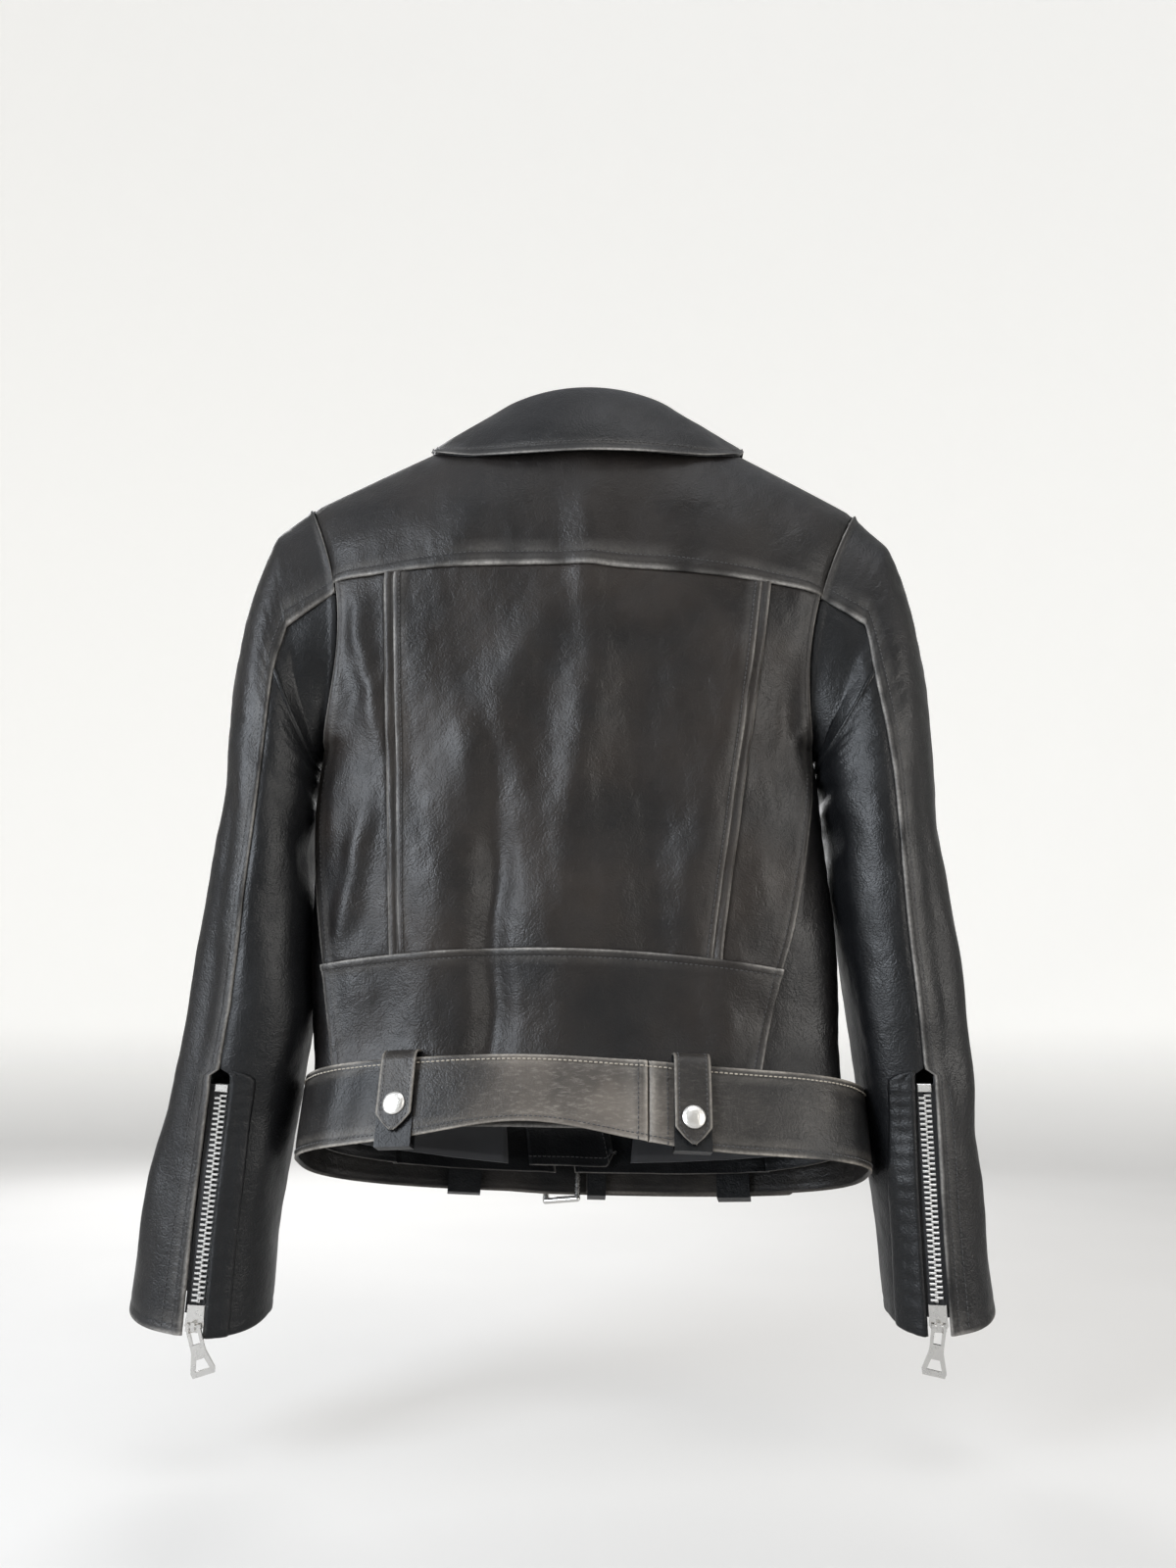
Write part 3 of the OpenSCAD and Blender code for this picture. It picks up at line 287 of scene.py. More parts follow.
def hem_at(face, x):
    u = np.minimum(1, np.abs(x - body_sway(-510)) / edge_half(-510))
    return HEM_Z + math.tan(BELT_ROLL) * x + face * math.tan(BELT_TILT) * 58 * (1 - u ** POWER) ** (1 / POWER)


# ---------------------------------------------------------------- settling of the leather
SETTLE_FRAMES = 36
SETTLE_SOFTENING = 7
SETTLE_CLOTH = {"quality": 6, "mass": 0.5, "air_damping": 4, "tension_stiffness": 40,
                "compression_stiffness": 40, "shear_stiffness": 12, "bending_stiffness": 150,
                "pin_stiffness": 2}
BODY_SPARE, SLEEVE_SPARE = 0.03, 0.035     # spare length of the cloth
SOFT_HOLD = 0.26       # how firmly the whole sheet is held; the cloth takes about its fourth power
BACK_SETTLE, FRONT_SETTLE, SLEEVE_SETTLE = 0.42, 0.45, 0.4     # share of the movement that is kept
BODY_GRID_Z = (-505.0, -80.0)
BODY_GRID = (62, 54)
SLEEVE_GRID = (72, 44)
SETTLED = {}


def softened(grid, closed):
    """The grid after a few rounds of averaging with its neighbours."""
    for _ in range(SETTLE_SOFTENING):
        tall = np.pad(grid, ((1, 1), (0, 0)), "edge")
        grid = (tall[:-2] + 2 * grid + tall[2:]) / 4
        wide = np.pad(grid, ((0, 0), (1, 1)), "wrap" if closed else "edge")
        grid = (wide[:, :-2] + 2 * grid + wide[:, 2:]) / 4
    return grid


def settle(name, p, hold, closed, spare):
    """Lets a grid of points settle as cloth with a share of spare length, held softly where it stands.
    Returns how far each point has moved along the grid's normals."""
    m, n = p.shape[:2]
    i, j = np.meshgrid(np.arange(m - 1), np.arange(n if closed else n - 1), indexing="ij")
    k = (j + 1) % n
    faces = np.stack([i * n + j, i * n + k, (i + 1) * n + k, (i + 1) * n + j], -1).reshape(-1, 4)
    obj = new_mesh(name, p, faces)
    group = obj.vertex_groups.new(name="hold")
    for index, weight in enumerate(hold.ravel()):
        group.add([index], float(weight), "REPLACE")
    cloth = obj.modifiers.new("settle", "CLOTH")
    rules = cloth.settings
    for rule, value in SETTLE_CLOTH.items():
        setattr(rules, rule, value)
    rules.shrink_min = -spare
    rules.vertex_group_mass = "hold"
    cloth.collision_settings.use_collision = False
    cloth.point_cache.frame_end = SETTLE_FRAMES
    scene = bpy.context.scene
    for frame_number in range(1, SETTLE_FRAMES + 1):
        scene.frame_set(frame_number)
    ready = obj.evaluated_get(bpy.context.evaluated_depsgraph_get())
    out = np.empty(m * n * 3)
    ready.data.vertices.foreach_get("co", out)
    moved = out.reshape(m, n, 3) / MM - p
    bpy.data.objects.remove(obj)
    scene.frame_set(1)
    return softened(np.sum(moved * grid_normals(p), -1), closed)


def sampled(grid, row, column, closed):
    """Value of a grid at fractional rows and columns."""
    m, n = grid.shape
    row = np.clip(row, 0, m - 1.001)
    column = column % n if closed else np.clip(column, 0, n - 1.001)
    i, j = np.floor(row).astype(int), np.floor(column).astype(int)
    fi, fj = row - i, column - j
    k = (j + 1) % n
    low = mix(grid[i, j % n], grid[i, k], fj)
    return mix(low, mix(grid[i + 1, j % n], grid[i + 1, k], fj), fi)


def settle_body(face):
    """The back and the fronts, sewn down along the yoke, the pleats, the waist seam and the side edges."""
    zs = np.linspace(*BODY_GRID_Z, BODY_GRID[0])
    share, z = np.meshgrid(np.linspace(0.01, 0.99, BODY_GRID[1]), zs)
    x = mix(edge_x(-1, z), edge_x(1, z), share)
    p = np.stack([x, MID_Y + face * body_depth(face, x, z), z], -1)
    seams = [bump(x, edge_x(side, z), 9) for side in (1, -1)] + [bump(z, zs[0], 9), bump(z, zs[-1], 12)]
    if face > 0:
        seams += [bump(z, waist_seam_z(x), 7), bump(z, yoke_seam_z(x), 7)]
        seams += [0.6 * bump(x, pleat_x(side, z), 6) for side in (1, -1)]
    hold = clamp01(SOFT_HOLD + sum(seams))
    outward = face * np.sign(np.mean(grid_normals(p)[..., 1]))
    SETTLED[f"body{face}"] = outward * settle(f"settle_body{face}", p, hold, False, BODY_SPARE)


def settled_body(face, x, z):
    grid = SETTLED.get(f"body{face}")
    if grid is None:
        return 0 * x
    share = (x - edge_x(-1, z)) / (edge_x(1, z) - edge_x(-1, z))
    column = (share - 0.01) / 0.98 * (grid.shape[1] - 1)
    row_at = (z - BODY_GRID_Z[0]) / (BODY_GRID_Z[1] - BODY_GRID_Z[0]) * (grid.shape[0] - 1)
    return (BACK_SETTLE if face > 0 else FRONT_SETTLE) * sampled(grid, row_at, column, False)


def settle_sleeve(side):
    """A sleeve, held at the armhole, at the cuff and a little along its seams."""
    a = np.linspace(-math.pi, math.pi, SLEEVE_GRID[1], endpoint=False)
    v = np.linspace(0.0, 8.0, SLEEVE_GRID[0])
    aa, vv = np.meshgrid(a, v)
    p = sleeve_base(side, aa, vv)
    hold = bump(vv, 0, 0.35) + smooth(6.9, 7.8, vv) + 0.25 * bump(aa, back_seam_angle(side, vv), 0.12)
    hold = clamp01(SOFT_HOLD + hold + 0.2 * bump(aa, FRONT_SEAM, 0.12))
    moved = settle(f"settle_sleeve{side}", p, hold, True, SLEEVE_SPARE)
    outward = np.sign(np.sum(grid_normals(p) * (p - p.mean(1, keepdims=True)), -1).mean())
    SETTLED[f"sleeve{side}"] = outward * moved


def settled_sleeve(side, a, v):
    grid = SETTLED.get(f"sleeve{side}")
    if grid is None:
        return 0 * a
    column = (a + math.pi) / (2 * math.pi) * SLEEVE_GRID[1]
    return SLEEVE_SETTLE * sampled(grid, v / 8.0 * (SLEEVE_GRID[0] - 1), column, True)


# ---------------------------------------------------------------- seam lines
def yoke_seam_z(x):
    return YOKE_Z - 12.5 * (x / 170) ** 2 + 0.035 * x


def waist_seam_z(x):
    return WAIST_Z - 11 * ((x - 38) / 150) ** 2


def pleat_x(side, z):
    return -SLEW * z + side * mix(134, 109, clamp01((-130 - z) / 255))


def back_seam_x(side, z):
    high = edge_x(side, z) - side * 1.5
    knots = [(-460, 138), (-400, 151), (-350, 162), (-285, 171 if side > 0 else 170),
             (ARMPIT_Z, 168.5 if side > 0 else 171.7)]
    low = -SLEW * z + 2 + side * through(knots, z)
    return np.where(z > ARMPIT_Z, high, low)


def front_seam_x(side, z):
    return edge_x(side, z) - side * through([(-520, 42), (-400, 30), (ARMPIT_Z, 6)], z)


def shoulder_pt(side):
    z = ridge_z(np.array(edge_x(side, ridge_z(np.array(side * SHOULDER_HALF)))))
    return float(edge_x(side, z)), float(z) - 0.015


# ---------------------------------------------------------------- patches
def coons(bottom, top, left, right):
    """Patch of the X-Z plane between four lines, each a function of t in 0..1 that gives (x, z)."""
    def at(u, w):
        zero, one = np.zeros(1), np.ones(1)
        ends = ((bottom, zero), (bottom, one), (top, zero), (top, one))
        b0, b1, t0, t1 = (np.stack(f(e), -1)[0] for f, e in ends)
        b, t = np.stack(bottom(u), -1), np.stack(top(u), -1)
        lf, r = np.stack(left(w), -1), np.stack(right(w), -1)
        uu, ww = u[..., None], w[..., None]
        return mix(b, t, ww) + mix(lf, r, uu) - mix(mix(b0, b1, uu), mix(t0, t1, uu), ww)
    return at


def line(fx, z0, z1):
    """Side of a patch: x is a function of z, and z runs from z0 to z1."""
    return lambda t: (fx(mix(z0, z1, t)), mix(z0, z1, t))


def row(fz, x0, x1):
    return lambda t: (mix(x0, x1, t), fz(mix(x0, x1, t)))


def straight(a, b):
    return lambda t: (mix(a[0], b[0], t), mix(a[1], b[1], t))


# ---------------------------------------------------------------- edges and panels
SEAM_STITCH = 5.4      # distance of a stitch row from its edge
SEAM_RISE = 1.5        # height of a folded seam edge


def gathers(along, pitch, drift):
    """Small waves along a sewn edge, with an uneven pitch."""
    return np.sin(along * 2 * math.pi / pitch + 2 * np.sin(along / drift))


def edge_lift(style, d, along):
    """Height of a panel a distance d from one of its edges."""
    if style == "over":
        q = clamp01(d / 1.1)
        fade = 1 - 0.85 * smooth(SEAM_STITCH - 1, SEAM_STITCH + 4, d)
        ridge = SEAM_RISE * np.sqrt(1 - (1 - q) ** 2) * fade
        groove = 0.75 * bump(d, SEAM_STITCH, 1.0)
        pucker = 0.14 * gathers(along, 7.5, 31) * bump(d, SEAM_STITCH + 3, 4)
        return ridge - groove + pucker
    if style == "under":
        pucker = 0.1 * gathers(along, 8.5, 23) * bump(d, 4, 5)
        return -0.8 * (1 - smooth(0, 5, d)) + pucker
    if style == "free":
        q = clamp01(d / 0.9)
        groove = 0.4 * bump(d, SEAM_STITCH, 0.9)
        return 0.5 * np.sqrt(1 - (1 - q) ** 2) - groove
    return 0 * d


def edge_wear_and_highlight(style, d, along, seed):
    if style not in ("over", "free"):
        return 0 * d
    # Pale bands along a sewn edge: the bands at the edge and about 3 mm in are rubbed leather and painted
    # highlight on the raised edge; the band just past the stitch row is a painted highlight.
    patch = 0.62 + 0.38 * ripple(along, along * 0.3, 38, seed)
    rubbed_and_highlit = bump(d, 0.7, 0.9) + 0.12 * bump(d, 3.2, 1.0) + 0.34 * bump(d, SEAM_STITCH + 1.6, 0.9)
    return clamp01(patch) * rubbed_and_highlit


def spaced(length, step, close):
    """Shares 0..1 along a length, with extra rows close to the ends named in close."""
    near = np.array([0, 0.2, 0.5, 0.9, 1.5, 2.4, 3.6, 4.8, 6.2, 8.0])
    n = max(2, int(round(length / step)))
    t = set(np.linspace(0, 1, n + 1))
    if close[0]:
        t = {v for v in t if v * length > 9.2} | set(near / length)
    if close[1]:
        t = {v for v in t if (1 - v) * length > 9.2} | set(1 - near / length)
    return np.array(sorted(t))


class Panel:
    """A leather panel. surface(u, w, lift) gives points; edges are the styles of its
    bottom, top, left and right sides, in that order."""

    def __init__(self, name, surface, wide, tall, edges, step=2.8, seed=1, tone=0.0):
        self.name, self.surface, self.wide, self.tall = name, surface, wide, tall
        self.edges, self.step, self.seed, self.tone = edges, step, seed, tone

    def distances(self, u, w):
        return w * self.tall, (1 - w) * self.tall, u * self.wide, (1 - u) * self.wide

    def lift(self, u, w):
        d = self.distances(u, w)
        along = (u * self.wide, u * self.wide, w * self.tall, w * self.tall)
        return sum(edge_lift(s, dd, a) for s, dd, a in zip(self.edges, d, along))

    def at(self, u, w, extra=0.0):
        u, w = np.broadcast_arrays(np.asarray(u, float), np.asarray(w, float))
        return self.surface(u, w, self.lift(u, w) + extra)

    # Pale marks along the edges: rubbed leather and painted highlight.
    def wear_and_highlight(self, u, w):
        d = self.distances(u, w)
        along = (u * self.wide, u * self.wide, w * self.tall, w * self.tall)
        lighter = [edge_wear_and_highlight(s, dd, a, self.seed + k) for k, (s, dd, a) in enumerate(zip(self.edges, d, along))]
        return clamp01(sum(lighter))

    def build(self, thick=1.3, material=None):
        us = spaced(self.wide, self.step, [e in ("over", "under", "free") for e in self.edges[2:]])
        ws = spaced(self.tall, self.step, [e in ("over", "under", "free") for e in self.edges[:2]])
        u, w = np.meshgrid(us, ws)
        return sheet(self.name, self.at(u, w), thick, material, self.wear_and_highlight(u, w), np.full(u.shape, self.tone))

    def edge_path(self, side, inset, count=400, start=0.0, end=1.0, extra=0.15):
        """Path along a side ('bottom', 'top', 'left' or 'right'), a distance inset from it."""
        t = np.linspace(start, end, count)
        if side in ("bottom", "top"):
            share = inset / self.tall
            w = np.full(count, share if side == "bottom" else 1 - share)
            return self.at(t, w, extra), self.at(t, w, extra + 1)
        share = inset / self.wide
        u = np.full(count, share if side == "left" else 1 - share)
        return self.at(u, t, extra), self.at(u, t, extra + 1)


# ---------------------------------------------------------------- meshes
def new_mesh(name, points, faces, material=None, smooth_shade=True):
    mesh = bpy.data.meshes.new(name)
    mesh.from_pydata((np.asarray(points, float).reshape(-1, 3) * MM).tolist(), [], [list(f) for f in faces])
    mesh.validate()
    mesh.update()
    obj = bpy.data.objects.new(name, mesh)
    bpy.context.scene.collection.objects.link(obj)
    if smooth_shade:
        mesh.shade_smooth()
    if material is not None:
        mesh.materials.append(material)
    return obj


def grid_normals(p):
    a = np.gradient(p, axis=0)
    b = np.gradient(p, axis=1)
    return unit(np.cross(a, b))


def set_attribute(obj, name, values):
    a = obj.data.attributes.new(name, "FLOAT", "POINT")
    a.data.foreach_set("value", np.asarray(values, np.float32).ravel())


def sheet(name, p, thick, material, wear_and_highlight=None, tone=None, outward=None):
    """Closed sheet under a grid of outer points, with smooth sides and a firm rim."""
    m, n = p.shape[:2]
    normal = grid_normals(p)
    if outward is None:
        centre = np.array([0, MID_Y, p[..., 2].mean()])
        side = np.sign(np.sum((p - centre) * normal * np.array([1, 1, 0]), -1).mean())
    else:
        side = np.sign(np.sum(normal * np.asarray(outward, float), -1).mean())
    inner = p - side * normal * thick
    count = m * n
    i, j = np.meshgrid(np.arange(m - 1), np.arange(n - 1), indexing="ij")
    a = (i * n + j).ravel()
    quads = np.stack([a, a + 1, a + n + 1, a + n], -1)
    back = quads[:, ::-1] + count
    rim = list(range(n)) + [k * n + n - 1 for k in range(1, m)]
    rim += [(m - 1) * n + k for k in range(n - 2, -1, -1)] + [k * n for k in range(m - 2, 0, -1)]
    rim = np.array(rim)
    nxt = np.roll(rim, -1)
    walls = np.stack([nxt, rim, rim + count, nxt + count], -1)
    faces = np.concatenate([quads, back, walls])
    if side < 0:
        faces = faces[:, ::-1]
    obj = new_mesh(name, np.concatenate([p.reshape(-1, 3), inner.reshape(-1, 3)]), faces, material)
    zeros = np.zeros(count)
    # Pale edge mark: rubbed leather and painted highlight.
    set_attribute(obj, "wear_and_highlight", np.concatenate([zeros if wear_and_highlight is None else np.ravel(wear_and_highlight), zeros]))
    set_attribute(obj, "tone", np.concatenate([zeros if tone is None else np.ravel(tone), zeros]))
    return obj


def resample(path, extra, pitch):
    """Points, and outward directions, at even steps along a path."""
    step = np.linalg.norm(np.diff(path, axis=0), axis=1)
    s = np.concatenate([[0], np.cumsum(step)])
    marks = np.arange(pitch / 2, s[-1], pitch)
    p = np.stack([np.interp(marks, s, path[:, k]) for k in range(3)], -1)
    q = np.stack([np.interp(marks, s, extra[:, k]) for k in range(3)], -1)
    ahead = np.stack([np.interp(marks + 0.4, s, path[:, k]) for k in range(3)], -1)
    behind = np.stack([np.interp(marks - 0.4, s, path[:, k]) for k in range(3)], -1)
    return p, unit(q - p), unit(ahead - behind)


STITCH_RING = 6


def stitches(paths, pitch=3.3, length=2.5, radius=0.34):
    """Vertices and faces of rows of stitches. Each stitch is a short bead of thread that dips at its ends."""
    turn = np.arange(STITCH_RING) * 2 * math.pi / STITCH_RING
    shares = np.array([-1, -0.72, 0, 0.72, 1])
    size = np.array([0.25, 0.85, 1.0, 0.85, 0.25])
    sink = np.array([-0.75, -0.12, 0.1, -0.12, -0.75])
    points, faces = [], []
    base = 0
    for path, extra in paths:
        p, out, along = resample(path, extra, pitch)
        across = np.cross(along, out)
        for c, o, t, x in zip(p, out, along, across):
            for share, k, dip in zip(shares, size, sink):
                centre = c + t * share * length / 2 + o * dip * radius * 1.4
                points.append(centre + radius * k * (np.outer(np.cos(turn), x) + np.outer(np.sin(turn), o)))
            for r in range(len(shares) - 1):
                for e in range(STITCH_RING):
                    f = (e + 1) % STITCH_RING
                    s0, s1 = base + r * STITCH_RING, base + (r + 1) * STITCH_RING
                    faces.append((s0 + e, s0 + f, s1 + f, s1 + e))
            faces.append(tuple(base + STITCH_RING - 1 - e for e in range(STITCH_RING)))
            faces.append(tuple(base + 4 * STITCH_RING + e for e in range(STITCH_RING)))
            base += len(shares) * STITCH_RING
    return np.concatenate(points), faces


def stitch_object(name, paths, material, **kw):
    points, faces = stitches(paths, **kw)
    return new_mesh(name, points, faces, material)


# ---------------------------------------------------------------- materials
def node_material(name):
    mat = bpy.data.materials.new(name)
    mat.use_nodes = True
    nodes, links = mat.node_tree.nodes, mat.node_tree.links
    shader = nodes["Principled BSDF"]
    return mat, nodes, links, shader


def noise(nodes, links, vector, scale, detail=3.0, rough=0.55):
    n = nodes.new("ShaderNodeTexNoise")
    n.inputs["Scale"].default_value = scale
    n.inputs["Detail"].default_value = detail
    n.inputs["Roughness"].default_value = rough
    links.new(vector, n.inputs["Vector"])
    return n.outputs["Fac"]


def ramp(nodes, links, value, low, high, from_value=0.0, to_value=1.0):
    n = nodes.new("ShaderNodeMapRange")
    n.inputs["From Min"].default_value = low
    n.inputs["From Max"].default_value = high
    n.inputs["To Min"].default_value = from_value
    n.inputs["To Max"].default_value = to_value
    links.new(value, n.inputs["Value"])
    return n.outputs["Result"]


def calc(nodes, links, kind, a, b):
    n = nodes.new("ShaderNodeMath")
    n.operation = kind
    for slot, v in zip(n.inputs, (a, b)):
        if isinstance(v, (int, float)):
            slot.default_value = v
        else:
            links.new(v, slot)
    return n.outputs[0]


def blend_colour(nodes, links, share, a, b):
    n = nodes.new("ShaderNodeMix")
    n.data_type = "RGBA"
    for slot, v in ((n.inputs[0], share), (n.inputs[6], a), (n.inputs[7], b)):
        if isinstance(v, tuple):
            slot.default_value = (*v, 1)
        elif isinstance(v, (int, float)):
            slot.default_value = v
        else:
            links.new(v, slot)
    return n.outputs[2]


def attribute(nodes, name):
    n = nodes.new("ShaderNodeAttribute")
    n.attribute_name = name
    return n.outputs["Fac"]


def leather(name, black, brown, lighter, rough=(0.33, 0.5), grain=1.0, scuff=0.0):
    """Aniline leather: pebbled grain, creases, patches of brown, and pale edges, partly rubbed leather and
    partly painted highlight.
    """
    mat, nodes, links, shader = node_material(name)
    place = nodes.new("ShaderNodeTexCoord").outputs["Object"]
    wear_and_highlight, tone = attribute(nodes, "wear_and_highlight"), attribute(nodes, "tone")
    patches = noise(nodes, links, place, 16, 3)
    cloudy = ramp(nodes, links, patches, 0.35, 0.7)
    brown_share = calc(nodes, links, "MULTIPLY", calc(nodes, links, "ADD", cloudy, 0.35), tone)
    base = blend_colour(nodes, links, brown_share, black, brown)
    fine = noise(nodes, links, place, 420, 2)
    speckle = ramp(nodes, links, fine, 0.3, 0.75, 0.55, 1.15)
    # Pale colour where the edge mark is: rubbed leather and painted highlight.
    wear_and_highlight_share = calc(nodes, links, "MULTIPLY", wear_and_highlight, speckle)
    colour = blend_colour(nodes, links, wear_and_highlight_share, base, lighter)
    pebble = nodes.new("ShaderNodeTexVoronoi")
    pebble.feature = "SMOOTH_F1"
    pebble.inputs["Scale"].default_value = 900
    links.new(place, pebble.inputs["Vector"])
    creases = nodes.new("ShaderNodeTexVoronoi")
    creases.feature = "DISTANCE_TO_EDGE"
    creases.inputs["Scale"].default_value = 190
    warp = nodes.new("ShaderNodeVectorMath")
    warp.operation = "MULTIPLY_ADD"
    jitter = nodes.new("ShaderNodeTexNoise")
    jitter.inputs["Scale"].default_value = 60
    links.new(place, jitter.inputs["Vector"])
    links.new(jitter.outputs["Color"], warp.inputs[0])
    warp.inputs[1].default_value = (0.012, 0.012, 0.012)
    links.new(place, warp.inputs[2])
    links.new(warp.outputs[0], creases.inputs["Vector"])
    crease = ramp(nodes, links, creases.outputs["Distance"], 0.0, 0.12)
    wrinkle = noise(nodes, links, warp.outputs[0], 55, 4, 0.6)
    low = calc(nodes, links, "MULTIPLY", wrinkle, 1.6)
    mid = calc(nodes, links, "MULTIPLY", crease, 0.12)
    high = calc(nodes, links, "MULTIPLY", pebble.outputs["Distance"], 0.35)
    height = calc(nodes, links, "ADD", calc(nodes, links, "ADD", low, mid), high)
    if scuff:
        stroke = nodes.new("ShaderNodeMapping")
        stroke.inputs["Rotation"].default_value = (0, math.radians(34), 0)
        stroke.inputs["Scale"].default_value = (170, 170, 620)
        links.new(place, stroke.inputs["Vector"])
        scratches = ramp(nodes, links, noise(nodes, links, stroke.outputs[0], 1.0, 5, 0.75), 0.5, 0.85)
        scratch_share = calc(nodes, links, "MULTIPLY", calc(nodes, links, "MULTIPLY", scratches, tone), scuff)
        colour = blend_colour(nodes, links, scratch_share, colour, lighter)
        height = calc(nodes, links, "ADD", height, calc(nodes, links, "MULTIPLY", scratch_share, 0.5))
    relief = nodes.new("ShaderNodeBump")
    relief.inputs["Strength"].default_value = 0.75 * grain
    relief.inputs["Distance"].default_value = 0.00065
    links.new(height, relief.inputs["Height"])
    links.new(relief.outputs[0], shader.inputs["Normal"])
    links.new(colour, shader.inputs["Base Color"])
    gloss = noise(nodes, links, place, 34, 4)
    roughness = ramp(nodes, links, gloss, 0.3, 0.7, rough[0], rough[1])
    rubbed_and_highlit = calc(nodes, links, "ADD", roughness, calc(nodes, links, "MULTIPLY", wear_and_highlight, 0.12))
    links.new(rubbed_and_highlit, shader.inputs["Roughness"])
    shader.inputs["Specular IOR Level"].default_value = 0.34
    return mat


def fabric(name, colour, light, threads, rough=0.85, sheen=0.3):
    """Woven cloth: two crossed sets of threads in bump and tone."""
    mat, nodes, links, shader = node_material(name)
    place = nodes.new("ShaderNodeTexCoord").outputs["Object"]
    waves = []
    for turn in (35, -35):
        m = nodes.new("ShaderNodeMapping")
        m.inputs["Rotation"].default_value = (0, math.radians(turn), 0)
        links.new(place, m.inputs["Vector"])
        w = nodes.new("ShaderNodeTexWave")
        w.inputs["Scale"].default_value = threads
        w.inputs["Distortion"].default_value = 0.6
        links.new(m.outputs[0], w.inputs["Vector"])
        waves.append(w.outputs["Fac"])
    weave = calc(nodes, links, "MULTIPLY", *waves)
    links.new(blend_colour(nodes, links, weave, colour, light), shader.inputs["Base Color"])
    relief = nodes.new("ShaderNodeBump")
    relief.inputs["Strength"].default_value = 0.4
    relief.inputs["Distance"].default_value = 0.0003
    links.new(weave, relief.inputs["Height"])
    links.new(relief.outputs[0], shader.inputs["Normal"])
    shader.inputs["Roughness"].default_value = rough
    shader.inputs["Sheen Weight"].default_value = sheen
    return mat


def metal(name, colour, rough, grime=0.3, hammered=0.0):
    mat, nodes, links, shader = node_material(name)
    place = nodes.new("ShaderNodeTexCoord").outputs["Object"]
    tarnish = ramp(nodes, links, noise(nodes, links, place, 260, 3), 0.45, 0.75)
    dark = tuple(c * 0.55 for c in colour)
    share = calc(nodes, links, "MULTIPLY", tarnish, grime)
    links.new(blend_colour(nodes, links, share, colour, dark), shader.inputs["Base Color"])
    links.new(ramp(nodes, links, tarnish, 0, 1, rough, rough + 0.16), shader.inputs["Roughness"])
    shader.inputs["Metallic"].default_value = 1.0
    relief = nodes.new("ShaderNodeBump")
    relief.inputs["Strength"].default_value = 0.12 + hammered
    relief.inputs["Distance"].default_value = 0.0004
    links.new(noise(nodes, links, place, 300 if hammered else 700, 2), relief.inputs["Height"])
    links.new(relief.outputs[0], shader.inputs["Normal"])
    return mat


BLACK = (0.0045, 0.0048, 0.0055)
BROWN = (0.0205, 0.0160, 0.0132)
# Pale colour of rubbed edges and of the highlights painted along seams and raised edges.
PALE_WEAR_AND_HIGHLIGHT = (0.27, 0.255, 0.235)
LEATHER = leather("jacket_leather", BLACK, BROWN, PALE_WEAR_AND_HIGHLIGHT)
# The belt's brown marks rubbed leather and, at the arch of the back, painted sheen; its pale colour marks
# rubbed edges and scratches, with painted highlight along the edges.
BELT_LEATHER = leather("belt_leather", BLACK, (0.115, 0.099, 0.084), (0.34, 0.31, 0.27),
                       rough=(0.34, 0.48), grain=0.9, scuff=0.6)
LINING = fabric("lining_satin", (0.012, 0.012, 0.014), (0.03, 0.03, 0.034), 900, 0.5, 0.4)
TAPE = fabric("zip_tape", (0.008, 0.008, 0.009), (0.028, 0.027, 0.028), 700)
THREAD = fabric("dark_thread", (0.03, 0.029, 0.03), (0.06, 0.058, 0.056), 1500, 0.75)
PALE_THREAD = fabric("belt_thread", (0.36, 0.32, 0.255), (0.55, 0.49, 0.41), 1500, 0.7)
NICKEL = metal("nickel", (0.78, 0.765, 0.74), 0.2)
TEETH = metal("zip_metal", (0.86, 0.85, 0.83), 0.24, 0.25)
PEARL = metal("snap_nickel", (0.90, 0.88, 0.84), 0.3, 0.25, 0.35)

BODY_TONE = 0.75


# ---------------------------------------------------------------- back panels
SHOULDER_SEAM_FROM = 58.0
SHOULDER_SEAM_SIZE = (4.8, 2.5)


def body_surface(face, patch, lift=0.0):
    def surface(u, w, rise):
        q = patch(u, w)
        x = q[..., 0]
        z = np.minimum(q[..., 1], ridge_z(x) - 0.002)
        return body_at(face, x, z, rise + lift)
    return surface


